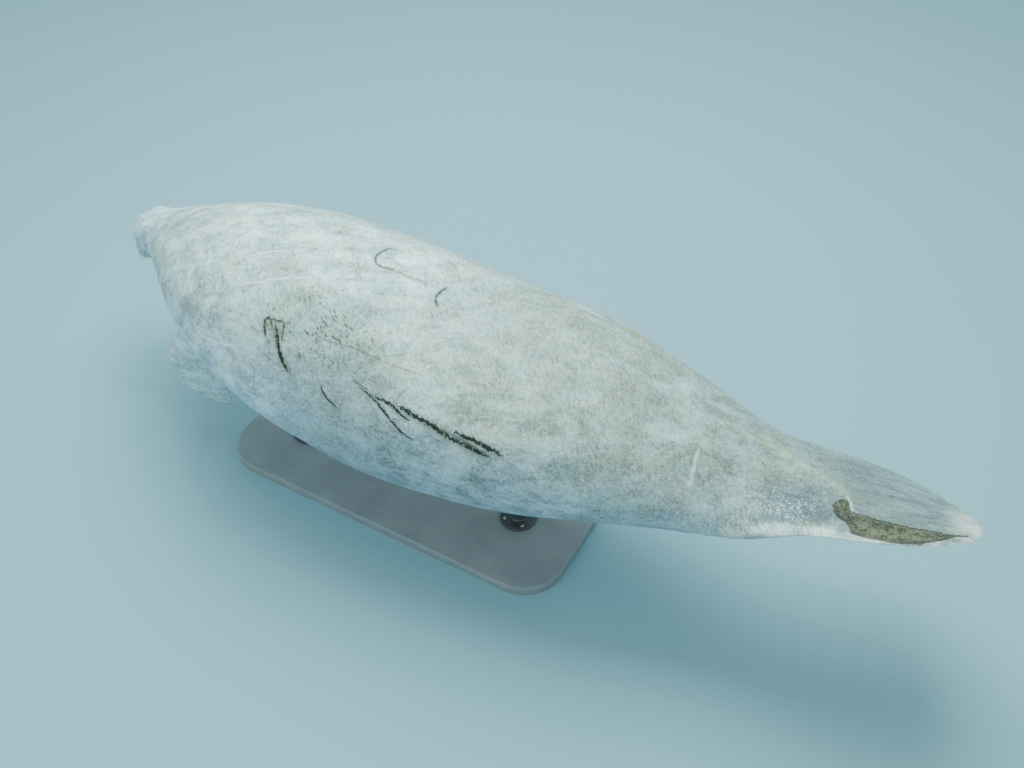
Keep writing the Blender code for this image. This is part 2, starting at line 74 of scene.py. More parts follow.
# Share of the length, half width on the left and on the right, rise above and drop below the spine.
SECTIONS = (
    (0.000, 0.092, 0.092, 0.078, 0.088),
    (0.030, 0.096, 0.096, 0.084, 0.100),
    (0.060, 0.107, 0.107, 0.096, 0.118),
    (0.090, 0.141, 0.141, 0.120, 0.137),
    (0.140, 0.199, 0.199, 0.164, 0.178),
    (0.200, 0.274, 0.274, 0.220, 0.238),
    (0.270, 0.336, 0.336, 0.278, 0.291),
    (0.350, 0.367, 0.367, 0.316, 0.326),
    (0.450, 0.386, 0.386, 0.316, 0.338),
    (0.550, 0.372, 0.372, 0.285, 0.317),
    (0.650, 0.336, 0.330, 0.232, 0.235),
    (0.720, 0.280, 0.270, 0.165, 0.162),
    (0.780, 0.239, 0.216, 0.109, 0.106),
    (0.820, 0.246, 0.209, 0.066, 0.078),
    (0.870, 0.260, 0.266, 0.039, 0.035),
    (0.920, 0.304, 0.307, 0.027, 0.027),
    (0.960, 0.305, 0.312, 0.019, 0.019),
    (1.000, 0.305, 0.305, 0.010, 0.010),
)
OUTLINE_POWERS = ((0.0, 2.5), (0.05, 2.45), (0.12, 2.15), (0.76, 2.1), (0.87, 1.6), (1.0, 1.55))
SPINE_HEIGHTS = (
    (0.0, -0.160),
    (0.1, -0.063),
    (0.25, 0.001),
    (0.45, -0.053),
    (0.7, -0.048),
    (0.8, -0.053),
    (0.9, -0.012),
    (1.0, 0.009),
)
SPINE_TURNS = ((0.0, 0.197), (0.12, 0.089), (0.25, -0.014), (0.5, -0.009), (0.75, 0.040), (1.0, 0.112))
ROLLS = ((0.0, 0.0), (0.4, 0.0), (0.7, 0.0), (0.78, 0.0), (0.86, 17.8), (1.0, 37.0))
SNOUT_ROUND_SHARE = 0.024
SNOUT_ROUND_POWER = 2.6
TIP_ROUND_START = 0.925
TIP_ROUND_POWER = 2.35
HEAD_END = 0.137
TAIL_ROOT = 0.80

# The face. Forward, left and up are measured in the head's own frame.
HEAD_FRAME_SHARE = 0.03
MOUTH_TOP_FRONT = -0.038
MOUTH_TOP_REAR = -0.022
MOUTH_FLOOR = -0.118
MOUTH_HALF_FRONT = 0.046
MOUTH_HALF_REAR = 0.116
MOUTH_FRONT = 0.08
MOUTH_BACK = -0.065
MOUTH_POWER = 2.2
MOUTH_REACH = 0.060
LIP_GROOVE = (0.009, 0.0, 0.0065)
LIP_PAD = (0.011, 0.028, 0.020)
LIP_CLEFT_WIDTH = 0.012
CHIN_SET_BACK = 0.026
CHIN_DROP = 0.008
NOSTRIL_PLACE = (0.0135, 68.0)
NOSTRIL_ARC = 0.019
NOSTRIL_SPREAD = 70.0
NOSTRIL_BULGE = (0.75, 0.65)
EYE_PLACE = (0.085, 20.0)
EYE_RADIUS = 0.0115
EYE_DEPTH = 0.0060
EAR_PLACE = (0.124, 27.0)
FACE_RISES = (
    (0.040, 90.0, 0.036, -0.008),
    (0.082, 270.0, 0.055, 0.010),
    (*NOSTRIL_PLACE, 0.024, 0.004),
    (*EYE_PLACE, 0.030, 0.006),
    (0.088, -32.0, 0.045, 0.007),
)

FLIPPER_ROOT = (-0.685, 0.203, -0.131)
FLIPPER_BEND = (-0.735, 0.280, -0.264)
FLIPPER_TIP = (-0.742, 0.110, -0.555)
FLIPPER_LEADING = (-0.85, 0.33, 0.42)
FLIPPER_ROOT_SUNK = 0.075
FLIPPER_SECTIONS = (
    (0.00, 0.098, 0.050),
    (0.14, 0.086, 0.040),
    (0.28, 0.085, 0.034),
    (0.45, 0.091, 0.028),
    (0.62, 0.094, 0.0225),
    (0.78, 0.089, 0.0175),
    (0.90, 0.077, 0.0125),
    (1.00, 0.070, 0.0085),
)
FLIPPER_ROUND_START = 0.80
NAIL_PLACES = ((0.925, 0.52), (0.955, 0.05), (0.925, -0.42))
NAIL_SIZE = (0.0095, 0.0085, 0.0055)
SIDES = ("left", "right")

# Where each flipper grows from the body: the middle of a patch of the skin, the patch's reach in shares and
# degrees, and how far down the flipper the join reaches.
JOIN_PLACES = ((0.207, -36.0), (0.170, 225.0))
JOIN_REACH = (0.037, 17.0)
JOIN_END = 0.36
JOIN_ROOT = 0.16

# Spacing of the skin's rings along the body, by share of the length.
RING_SPACING = (
    (0.0, 0.0034),
    (0.14, 0.0036),
    (0.19, 0.0080),
    (0.28, 0.0130),
    (0.70, 0.0145),
    (0.80, 0.0105),
    (1.0, 0.0105),
)
# How strongly the grid is drawn together round the eyes and nostrils, and within what reach.
GATHER = 0.62
GATHER_PLACES = ((*EYE_PLACE, 0.034), (*NOSTRIL_PLACE, 0.036))
# Half the size of the patch round an eye that is drawn in rings, before the grid is drawn together.
EYE_PATCH = 0.027

# Folds across the body: share, width, depth, the turn where the fold is deepest, and its spread in degrees.
FOLDS = (
    (0.034, 0.0050, 0.0024, 90.0, 70.0),
    (0.047, 0.0055, 0.0034, 90.0, 80.0),
    (0.060, 0.0055, 0.0028, 60.0, 60.0),
    (0.060, 0.0055, 0.0028, 120.0, 60.0),
    (0.073, 0.0060, 0.0026, 90.0, 70.0),
    (0.097, 0.0090, 0.0030, 270.0, 70.0),
    (0.116, 0.0120, 0.0050, 270.0, 100.0),
    (0.136, 0.0130, 0.0065, 270.0, 115.0),
    (0.157, 0.0140, 0.0060, 270.0, 105.0),
    (0.181, 0.0150, 0.0045, 270.0, 85.0),
    (0.128, 0.0120, 0.0026, 90.0, 70.0),
    (0.149, 0.0130, 0.0030, 90.0, 75.0),
    (0.172, 0.0140, 0.0022, 90.0, 60.0),
    (0.745, 0.0140, 0.0020, 270.0, 90.0),
    (0.772, 0.0130, 0.0028, 270.0, 100.0),
    (0.797, 0.0120, 0.0026, 270.0, 100.0),
    (0.788, 0.0120, 0.0014, 90.0, 60.0),
)

# Healed marks, and two painted ones: the dark line along the upper edge of the paddle's brown green area is a
# painted shadow, and the wide pale line on the head is a painted highlight. Each has the strength of its dark
# or, below 0, pale line, the line's half width and its places.
# The lines of one table lie well apart, since a point of the skin holds one distance for each table.
MARKS = (
    (
        (1.0, 0.0054, ((0.343, 43.0), (0.347, 39.2), (0.350, 36.4), (0.357, 30.8), (0.365, 25.6), (0.370, 23.6))),
        (1.0, 0.0024, ((0.403, 25.4), (0.410, 20.8), (0.419, 18.4), (0.425, 17.0))),
        (1.0, 0.0058, ((0.483, 31.0), (0.504, 28.0), (0.526, 25.2), (0.541, 22.4), (0.562, 20.0), (0.587, 17.4))),
        (0.8, 0.0030, ((0.389, 105.2), (0.3845, 96.0), (0.393, 91.6), (0.404, 91.4), (0.414, 91.6))),
        (0.9, 0.0028, ((0.4735, 94.4), (0.470, 89.2), (0.472, 85.6), (0.479, 82.0))),
        # This dark line is a painted shadow along the upper edge of the paddle's brown green area.
        (0.75, 0.0030, ((0.895, 51.0), (0.911, 46.8), (0.938, 42.4), (0.957, 39.6), (0.968, 38.6))),
        (-0.8, 0.0034, ((0.281, 70.8), (0.295, 76.8), (0.311, 81.2))),
        (-0.9, 0.0036, ((0.2616, 17.8), (0.269, 14.8), (0.283, 15.6), (0.309, 21.2))),
        (-0.4, 0.0045, ((0.751, 73.2), (0.753, 58.4), (0.756, 42.8))),
    ),
    (
        (0.9, 0.0034, ((0.335, 46.0), (0.332, 43.6), (0.333, 40.8), (0.3355, 38.0), (0.3385, 35.4))),
        (1.0, 0.0027, ((0.441, 32.6), (0.460, 29.2), (0.475, 24.4), (0.489, 19.2), (0.498, 16.0), (0.509, 14.6))),
        (1.0, 0.0050, ((0.547, 25.8), (0.562, 24.8), (0.576, 23.6), (0.588, 21.9), (0.598, 20.6))),
        (0.7, 0.0022, ((0.396, 49.8), (0.402, 49.6), (0.408, 49.1))),
        (-0.7, 0.0034, ((0.2925, 53.6), (0.319, 64.0), (0.350, 73.2))),
        (-0.6, 0.0036, ((0.300, 150.0), (0.330, 158.0), (0.370, 161.0))),
        # This wide pale line on the head is a painted highlight.
        (-0.8, 0.0085, ((0.222, 62.0), (0.229, 59.4), (0.236, 57.0))),
    ),
    (
        (0.8, 0.0024, ((0.334, 45.0), (0.3385, 45.4), (0.3445, 45.9), (0.3495, 45.6), (0.352, 41.0), (0.355, 36.6))),
        (1.0, 0.0034, ((0.460, 30.2), (0.469, 30.4), (0.480, 29.2), (0.491, 26.4), (0.502, 24.2))),
        (0.45, 0.0030, ((0.4155, 92.0), (0.429, 91.1), (0.4375, 91.5), (0.448, 91.6), (0.456, 89.8))),
        (-0.6, 0.0045, ((0.550, 140.0), (0.600, 128.0), (0.630, 126.0))),
        (0.8, 0.0024, ((0.373, 35.8), (0.377, 33.2))),
        (0.5, 0.0026, ((0.540, 24.2), (0.556, 23.0), (0.572, 20.8), (0.583, 19.4))),
    ),
    (
        (0.8, 0.0022, ((0.3335, 46.2), (0.337, 44.2), (0.3415, 41.0))),
        (0.7, 0.0020, ((0.3845, 54.4), (0.389, 53.2))),
        (0.35, 0.0016, ((0.375, 50.0), (0.390, 47.0), (0.420, 48.8), (0.447, 48.4), (0.475, 48.0), (0.503, 47.6))),
        (0.6, 0.0016, ((0.4325, 34.4), (0.443, 33.4), (0.452, 32.6))),
    ),
)

# Pale yellowish streaks along the tail's back and a cream band along its left edge, each with its half width.
STREAKS = (
    (0.014, 0.55, ((0.7816, 96.8), (0.7968, 104.8), (0.8155, 105.6), (0.8302, 104.0), (0.8452, 100.8))),
    (0.018, 0.80, ((0.8063, 119.6), (0.8291, 108.4), (0.8463, 99.6), (0.8604, 92.0), (0.8786, 78.0), (0.8903, 68.0))),
    (0.016, 0.45, ((0.8036, 68.0), (0.8155, 74.0), (0.8267, 82.4), (0.8400, 83.2))),
    (0.014, 0.45, ((0.8055, 104.8), (0.8340, 89.2), (0.8593, 76.4))),
)
CREAM = (0.020, 1.0, ((0.800, 2.0), (0.8191, 12.0), (0.8449, 13.6), (0.8607, 17.0), (0.8857, 15.6), (0.8960, 21.0)))

# The outline of the brown green area on the left half of the paddle's upper side, in shares and turns.
STRIP = (
    (0.8794, 55.0),
    (0.8824, 62.4),
    (0.8880, 64.5),
    (0.8916, 61.6),
    (0.8938, 55.6),
    (0.8960, 49.8),
    (0.9112, 46.8),
    (0.9381, 42.0),
    (0.9569, 39.2),
    (0.9700, 38.4),
    (0.9835, 40.0),
    (0.9890, 41.0),
    (0.9860, 36.0),
    (0.9780, 32.0),
    (0.9700, 25.0),
    (0.9612, 16.0),
    (0.9509, 9.0),
    (0.9400, 6.0),
    (0.9300, 7.0),
    (0.9191, 11.0),
    (0.9082, 15.0),
    (0.9006, 18.8),
    (0.8987, 27.6),
    (0.8944, 35.2),
    (0.8881, 39.2),
    (0.8821, 46.8),
)

BASE_SIZE = (1.30, 0.52, 0.035)
BASE_CORNER = 0.14
BASE_EDGE = 0.006
ROD_PLACES = (("front", -0.43), ("rear", 0.42))
ROD_RADIUS = 0.026
ROD_FLANGE = (0.062, 0.010)
ROD_PAD = 0.060
ROD_PAD_DROP = 0.070
GAP = 0.0003

FLESH_NODES = (
    "head",
    "muzzle",
    "lower_jaw",
    "neck",
    "torso",
    "tail_stock",
    "tail_paddle",
    "flipper_left",
    "flipper_right",
)


def length(name, description, default, **more):
    return bpy.props.FloatProperty(
        name=name, description=description, default=default, unit="LENGTH", min=0.0, precision=4, **more
    )


def amount(name, description, default, **more):
    return bpy.props.FloatProperty(name=name, description=description, default=default, **more)


def colour(name, description, default):
    return bpy.props.FloatVectorProperty(
        name=name, description=description, default=default, subtype="COLOR", size=3, min=0.0, max=1.0
    )


class ManateeSkin(bpy.types.PropertyGroup):
    """Sizes of the skin's relief"""

    columns: bpy.props.IntProperty(name="Columns", description="Points round the body", default=184, min=60)
    lump_height: length("Lumps", "Height of the broad soft unevenness of the body", 0.0034)
    wrinkle_depth: length("Wrinkles", "Depth of the wrinkles of the body", 0.0012)
    face_wrinkle_depth: length("Face wrinkles", "Depth of the wrinkles of the face", 0.0017)
    fold_strength: amount("Folds", "How deep the folds across the body are, beside their own depths", 1.0)
    edge_wave: length("Edge wave", "How far the paddle's edge wanders in and out", 0.0030)
    ridge_height: length("Tail ridge", "Height of the ridge on the back of the tail", 0.0045)


class ManateeColours(bpy.types.PropertyGroup):
    """Colours of the skin and of what grows from it"""

    pale: colour("Pale", "The light grey of the back", (0.50, 0.64, 0.645))
    grey: colour("Grey", "The darker grey between the pale strokes", (0.32, 0.415, 0.43))
    beige: colour("Beige", "The warm cast of the middle of the back", (0.44, 0.50, 0.40))
    cream: colour("Cream", "The streaks and the mottled band of the tail", (0.60, 0.70, 0.44))
    olive: colour("Olive", "The film of green on the back and stock", (0.275, 0.335, 0.255))
    chalk: colour("Chalk", "The whitish area behind the shoulders", (0.76, 0.93, 0.92))
    fleck: colour("Fleck", "The dark flecks of the shoulder", (0.04, 0.045, 0.03))
    # Partly the belly's own cool grey and partly painted shade on the lower sides; darker still on the middle of the
    # lower flank.
    flank: colour("Flank", "The cool grey of the flanks and belly", (0.39, 0.51, 0.62))
    slate: colour("Slate", "The dark cells of the patch on the stock", (0.15, 0.205, 0.24))
    strip: colour("Strip", "The brown green of the paddle's left margin", (0.026, 0.028, 0.010))
    moss: colour("Moss", "The paler green in it", (0.165, 0.152, 0.075))
    rim: colour("Rim", "The pale worn rim of the paddle", (0.72, 0.70, 0.66))
    # Painted shade: this colour is laid into the bottoms of folds and wrinkles and into the creases of the face.
    crease: colour("Crease", "The bottom of folds and wrinkles", (0.12, 0.13, 0.12))
    # The mark colour also paints one shadow: the dark line along the paddle's brown green area.
    mark: colour("Mark", "Healed dark marks", (0.010, 0.010, 0.005))
    # The scar colour also paints one highlight: the wide pale line on the head.
    scar: colour("Scar", "Healed pale scars", (0.88, 0.95, 0.93))
    muzzle: colour("Muzzle", "The lips and chin", (0.44, 0.47, 0.46))
    stain: colour("Stain", "The olive brown beside the dark marks", (0.19, 0.20, 0.11))
    iris: colour("Iris", "The brown of the eye", (0.014, 0.008, 0.005))
    nail: colour("Nail", "The horn of the nails", (0.66, 0.60, 0.45))
    bristle: colour("Bristle", "The bristles and hairs", (0.42, 0.36, 0.24))


class ManateeFace(bpy.types.PropertyGroup):
    """Sizes of the lids, bristles and hairs"""

    eye_opening: length("Eye opening", "Half the length of the opening between the lids", 0.0088)
    eye_slit: length("Eye slit", "Half the height of the opening between the lids", 0.0054)
    lid_margin: length("Lid margin", "How far the lids stand off the eye", 0.0014)
    nostril_depth: length("Nostril depth", "Depth of the nostril slits", 0.0110)
    bristles: bpy.props.IntProperty(name="Bristles", description="Bristles on the lips and chin", default=900)
    bristle_length: length("Bristle length", "Length of the longest bristles", 0.020)
    hairs: bpy.props.IntProperty(name="Hairs", description="Fine single hairs over the body", default=1500)
    hair_length: length("Hair length", "Length of the longest hairs", 0.022)


class ManateeStand(bpy.types.PropertyGroup):
    """Colours and small sizes of the stand"""

    paint: colour("Base paint", "The mid grey paint of the base", (0.24, 0.265, 0.275))
    metal: colour("Rod paint", "The satin dark grey of the rods", (0.085, 0.09, 0.095))
    pad: colour("Pads", "The black rubber between rod and belly", (0.018, 0.018, 0.018))
    screw: colour("Screws", "The steel of the screws", (0.55, 0.55, 0.54))
    screw_radius: length("Screw radius", "Radius of a flange screw's head", 0.0062)
    pad_height: length("Pad height", "How thick the rubber pad is", 0.016)


class ManateeStudio(bpy.types.PropertyGroup):
    """The camera, the floor and the lights"""

    azimuth: amount("Azimuth", "Degrees from straight behind the left side, towards the tail", 29.65)
    elevation: amount("Elevation", "Degrees above the horizon", 44.03)
    distance: length("Distance", "From the camera to the point it looks at", 3.262)
    aim: bpy.props.FloatVectorProperty(
        name="Aim", description="The point the camera looks at", default=(0.402, -0.009, 0.66), unit="LENGTH"
    )
    focal: amount("Focal length", "In millimetres, on a 36 mm sensor", 38.60)
    floor: colour("Floor", "The pale floor", (0.28, 0.49, 0.56))
    sky: amount("Sky", "Strength of the even light from all round", 0.86)
    key: amount("Key light", "Power of the large light overhead, in watts", 300.0)
    fill: amount("Fill light", "Power of the light on the near side, in watts", 36.0)


GROUPS = {
    "manatee_skin": ManateeSkin,
    "manatee_colours": ManateeColours,
    "manatee_face": ManateeFace,
    "manatee_stand": ManateeStand,
    "manatee_studio": ManateeStudio,
}


def spline(table, at, column=1):
    """The natural cubic curve through one column of a table: the bends at its rows solve the usual
    three-row equations for equal slopes and curvatures, and each stretch is a cubic between two rows."""
    xs = np.array([row[0] for row in table], float)
    ys = np.array([row[column] for row in table], float)
    steps = np.diff(xs)
    slopes = np.diff(ys) / steps
    count = len(xs)
    matrix = np.eye(count)
    right = np.zeros(count)
    for k in range(1, count - 1):
        matrix[k, k - 1 : k + 2] = steps[k - 1], 2 * (steps[k - 1] + steps[k]), steps[k]
        right[k] = 6 * (slopes[k] - slopes[k - 1])
    bends = np.linalg.solve(matrix, right)
    at = np.clip(np.asarray(at, float), xs[0], xs[-1])
    k = np.clip(np.searchsorted(xs, at) - 1, 0, count - 2)
    low, high, step = at - xs[k], xs[k + 1] - at, steps[k]
    straight = ys[k] * high / step + ys[k + 1] * low / step
    curved = bends[k] * (high**3 / step - high * step) + bends[k + 1] * (low**3 / step - low * step)
    return straight + curved / 6


def eased(low, high, value):
    """0 below low, 1 above high, and 3t² - 2t³ between."""
    t = np.clip((value - low) / (high - low), 0, 1)
    return t * t * (3 - 2 * t)


def bell(value, middle, width):
    """1 at the middle, falling away as exp(-d²) with the distance d in widths."""
    return np.exp(-(((value - middle) / width) ** 2))


def unit(vectors):
    return vectors / np.linalg.norm(vectors, axis=-1, keepdims=True)


def wrapped(degrees):
    """An angle brought between -180 and 180 degrees."""
    return (degrees + 180) % 360 - 180


def both_sides(turn):
    """The turn and its mirror image on the right side, once only on the midline."""
    return (turn,) if turn % 180 == 90 else (turn, 180 - turn)


def spine(share):
    """The spine: X grows evenly with the share, Y and Z follow the two curves of turns and heights."""
    share = np.asarray(share, float)
    along = (share - BALANCE_SHARE) * LENGTH
    return np.stack([along, spline(SPINE_TURNS, share), spline(SPINE_HEIGHTS, share) + BODY_HEIGHT], -1)


def section_axes(share):
    """The directions to the tail, to the left and up of the section at each share, rolled as the table says."""
    step = 1e-4
    tail = unit(spine(share + step) - spine(share - step))
    left = unit(np.cross(tail, (0.0, 0.0, 1.0)))
    up = np.cross(left, tail)
    roll = np.radians(spline(ROLLS, share))[..., None]
    return tail, left * np.cos(roll) + up * np.sin(roll), up * np.cos(roll) - left * np.sin(roll)


def end_rounding(share):
    """The factors (1 - d^n)^(1/n) that close the section at the snout and at the paddle's tip."""
    snout = 1 - np.clip(share / SNOUT_ROUND_SHARE, 0, 1)
    tip = np.clip((share - TIP_ROUND_START) / (1 - TIP_ROUND_START), 0, 1)
    return (
        (1 - snout**SNOUT_ROUND_POWER) ** (1 / SNOUT_ROUND_POWER),
        (1 - tip**TIP_ROUND_POWER) ** (1 / TIP_ROUND_POWER),
    )


def plain_skin(share, turn):
    """The spine's point, plus left times its side's half width times cos^(2/n) of the turn, plus up times the
    rise or drop times sin^(2/n), where n is the power of the section's outline and 2 gives an ellipse."""
    share, turn = np.broadcast_arrays(np.asarray(share, float), np.asarray(turn, float))
    snout, tip = end_rounding(share)
    left_half, right_half = (spline(SECTIONS, share, column) * snout * tip for column in (1, 2))
    rise, drop = (spline(SECTIONS, share, column) * snout for column in (3, 4))
    power = 2 / np.interp(share, *zip(*OUTLINE_POWERS))
    angle = np.radians(turn)
    across = np.sign(np.cos(angle)) * np.abs(np.cos(angle)) ** power
    upward = np.sign(np.sin(angle)) * np.abs(np.sin(angle)) ** power
    half = np.where(across > 0, left_half, right_half)
    tall = np.where(upward > 0, rise, drop)
    _, left, up = section_axes(share)
    return spine(share) + left * (half * across)[..., None] + up * (tall * upward)[..., None]


def outward(share, turn):
    """The outward direction: the slope along the body crossed with the slope round it."""
    ahead = plain_skin(share + 2e-4, turn) - plain_skin(np.maximum(share - 2e-4, 1e-6), turn)
    round_it = plain_skin(share, turn + 0.5) - plain_skin(share, turn - 0.5)
    return unit(np.cross(ahead, round_it))


def head_frame():
    """The head's origin on the spine, and its forward, left and up directions."""
    tail, left, up = section_axes(np.float64(HEAD_FRAME_SHARE))
    return spine(np.float64(HEAD_FRAME_SHARE)), np.stack([-tail, left, up])


def in_head(points):
    """Points measured forward, left and up from the head's origin."""
    origin, axes = head_frame()
    local = (points - origin) @ axes.T
    return local[..., 0], local[..., 1], local[..., 2]


def off_mouth(forward, left, up):
    """How far a point lies outside the mouth's arch: its superellipse distance from the arch's middle, less 1,
    times the reach. The arch widens and rises towards the corners of the mouth."""
    ends = (MOUTH_BACK, MOUTH_FRONT)
    half = np.interp(forward, ends, (MOUTH_HALF_REAR, MOUTH_HALF_FRONT))
    top = np.interp(forward, ends, (MOUTH_TOP_REAR, MOUTH_TOP_FRONT))
    across = np.abs(left) / half
    upward = np.maximum(up - MOUTH_FLOOR, 0) / (top - MOUTH_FLOOR)
    return ((across**MOUTH_POWER + upward**MOUTH_POWER) ** (1 / MOUTH_POWER) - 1) * MOUTH_REACH


def mouth_masks(forward, left, up):
    """Where the line of the mouth runs, and how far forward a place lies on the lips, each from 0 to 1."""
    opened = eased(MOUTH_BACK, MOUTH_BACK + 0.035, forward) * eased(0.02, -0.01, up)
    return opened, eased(-0.03, 0.05, forward)


def skin(share, turn):
    """The plain skin with bells of height added along its outward direction for lips and brows, and the chin
    moved back and down inside the line of the mouth, as in the solids."""
    share, turn = np.broadcast_arrays(np.asarray(share, float), np.asarray(turn, float))
    points = plain_skin(share, turn)
    forward, left, up = in_head(points)
    off = off_mouth(forward, left, up)
    opened, front = mouth_masks(forward, left, up)
    pads = front * (1 - 0.6 * bell(left, 0.0, LIP_CLEFT_WIDTH))
    raised = LIP_PAD[0] * bell(off, *LIP_PAD[1:]) * pads * opened
    raised -= LIP_GROOVE[0] * bell(off, *LIP_GROOVE[1:]) * opened
    for at, toward, reach, height in FACE_RISES:
        for side_turn in both_sides(toward):
            apart = np.linalg.norm(points - plain_skin(at, side_turn), axis=-1)
            raised += height * bell(apart, 0.0, reach)
    raised *= eased(HEAD_END, HEAD_END - 0.02, share)
    chin = (eased(-0.005, 0.012, -off) * eased(-0.02, 0.055, forward) * (share < HEAD_END))[..., None]
    _, axes = head_frame()
    chin_shift = -axes[0] * CHIN_SET_BACK - axes[2] * CHIN_DROP
    return points + outward(share, turn) * raised[..., None] + chin_shift * chin


def tangent_frame(place, side):
    """A place of the skin on one side of the body, and its tailward, upward and outward directions."""
    share, turn = np.float64(place[0]), np.float64(both_sides(place[1])[side])
    normal = outward(share, turn)
    tail = section_axes(share)[0]
    tail = unit(tail - normal * (tail @ normal))
    up = np.cross(normal, tail)
    return skin(share, turn), tail, up * np.sign(up[2]), normal


def flipper_path(side, shares):
    """A curve (1-t)² root + 2t(1-t) bend + t² tip, started inside the body, with its leading and outer directions."""
    mirror = np.array([1.0, 1.0 if side else -1.0, 1.0])
    lift = np.array([0.0, 0.0, BODY_HEIGHT])
    root, bend, tip = (np.array(p) * mirror + lift for p in (FLIPPER_ROOT, FLIPPER_BEND, FLIPPER_TIP))
    root = root - unit(bend - root) * FLIPPER_ROOT_SUNK
    t = np.asarray(shares, float)[:, None]
    path = (1 - t) ** 2 * root + 2 * t * (1 - t) * bend + t * t * tip
    along = unit(2 * (1 - t) * (bend - root) + 2 * t * (tip - bend))
    lead = np.array(FLIPPER_LEADING) * mirror
    lead = unit(lead - along * (along @ lead)[:, None])
    return path, lead, np.cross(along, lead) * (1 if side else -1)


def flipper_surface(side, shares, turns):
    """The flipper's path plus lead times half width times cos, plus outer times thickness times sin^1.1,
    both drawn in towards the tip. Shares are rows, and turns in radians are a row of points each."""
    shares = np.asarray(shares, float)
    path, lead, outer = flipper_path(side, shares)
    tip = np.clip((shares - FLIPPER_ROUND_START) / (1 - FLIPPER_ROUND_START), 0, 1)
    closing = np.sqrt(np.maximum(1 - tip**2.2, 1e-6))
    half = (spline(FLIPPER_SECTIONS, shares, 1) * closing)[:, None]
    thick = (spline(FLIPPER_SECTIONS, shares, 2) * closing**0.5)[:, None]
    across = half * np.cos(turns)
    upward = thick * np.sign(np.sin(turns)) * np.abs(np.sin(turns)) ** 1.1
    return path[:, None] + lead[:, None] * across[..., None] + outer[:, None] * upward[..., None]


def lattice_noise(places, cell, seed):
    """Smooth noise from -1 to 1: random heights on a lattice of the given cell size, which may differ by axis,
    mixed between a cell's eight corners with eased weights."""
    scaled = places / np.asarray(cell, float)
    low = np.floor(scaled).astype(int)
    part = scaled - low
    weight = part * part * (3 - 2 * part)
    heights = np.random.default_rng(seed).uniform(-1, 1, (64, 64, 64))
    total = np.zeros(places.shape[:-1])
    for corner in np.ndindex(2, 2, 2):
        x, y, z = np.moveaxis((low + corner) % 64, -1, 0)
        total += np.prod(np.where(corner, weight, 1 - weight), axis=-1) * heights[x, y, z]
    return total


def valleys(places, cell, seed, width=0.22):
    """Narrow valleys, 1 at their bottom, along the lines where smooth noise changes its sign."""
    return eased(width, 0.0, np.abs(lattice_noise(places, cell, seed)))


class Surface:
    """Points, faces over them as rows of four and of three point numbers, and named values at each point."""

    def __init__(self, points, quads, triangles=(), **fields):
        self.points = np.asarray(points, float)
        self.quads = np.asarray(quads, int).reshape(-1, 4)
        self.triangles = np.asarray(triangles, int).reshape(-1, 3)
        self.fields = fields

    def normals(self):
        """At each point the sum of the crossed diagonals or edges of the faces round it, made one long."""
        total = np.zeros_like(self.points)
        corners = self.points[self.quads]
        face = np.cross(corners[:, 2] - corners[:, 0], corners[:, 3] - corners[:, 1])
        for k in range(4):
            np.add.at(total, self.quads[:, k], face)
        corners = self.points[self.triangles]
        face = np.cross(corners[:, 1] - corners[:, 0], corners[:, 2] - corners[:, 0])
        for k in range(3):
            np.add.at(total, self.triangles[:, k], face)
        return total / np.maximum(np.linalg.norm(total, axis=1, keepdims=True), 1e-12)

    def smoothed(self, strength, rounds):
        """Each point moved towards the middle of its neighbours by its strength, a number of times."""
        ends = np.concatenate([self.quads[:, [k, (k + 1) % 4]] for k in range(4)])
        ends = ends[(strength[ends] > 0).any(axis=1)]
        for _ in range(rounds):
            total, count = np.zeros_like(self.points), np.zeros(len(self.points))
            for a, b in ((0, 1), (1, 0)):
                np.add.at(total, ends[:, a], self.points[ends[:, b]])
                np.add.at(count, ends[:, a], 1)
            middle = total / np.maximum(count, 1)[:, None]
            self.points += (middle - self.points) * (strength * (count > 0))[:, None]


def revolved(profile, around):
    """Points of a closed turned surface about +Z: each (radius, height) of the profile becomes a ring of
    (r cos a, r sin a, h), and the two ends are closed by a point on the axis."""
    profile = np.asarray(profile, float)
    angles = np.arange(around) * 2 * np.pi / around
    ring = np.stack([np.cos(angles), np.sin(angles)], -1)
    rings = np.concatenate(
        [profile[:, None, :1] * ring, np.broadcast_to(profile[:, None, 1:], (len(profile), around, 1))], -1
    )
    ends = np.array([(0, 0, profile[0, 1]), (0, 0, profile[-1, 1])])
    return ring_surface(rings, *ends)


def ring_surface(rings, start, end):
    """A closed surface over rings of points, fanned shut at both ends. Each ring runs leftwards round the
    direction of travel."""
    count, around = rings.shape[:2]
    index = np.arange(count * around).reshape(count, around)
    after = np.roll(index, -1, axis=1)
    quads = np.stack([index[:-1], after[:-1], after[1:], index[1:]], -1).reshape(-1, 4)
    first = np.stack([after[0], index[0], np.full(around, count * around)], -1)
    last = np.stack([index[-1], after[-1], np.full(around, count * around + 1)], -1)
    return Surface(np.concatenate([rings.reshape(-1, 3), [start, end]]), quads, np.concatenate([first, last]))


def joined(surfaces):
    """Several surfaces as one, with the fields that all of them have."""
    start, quads, triangles = 0, [], []
    for surface in surfaces:
        quads.append(surface.quads + start)
        triangles.append(surface.triangles + start)
        start += len(surface.points)
    names = set.intersection(*(set(surface.fields) for surface in surfaces))
    fields = {name: np.concatenate([surface.fields[name] for surface in surfaces]) for name in sorted(names)}
    points = np.concatenate([surface.points for surface in surfaces])
    return Surface(points, np.concatenate(quads), np.concatenate(triangles), **fields)


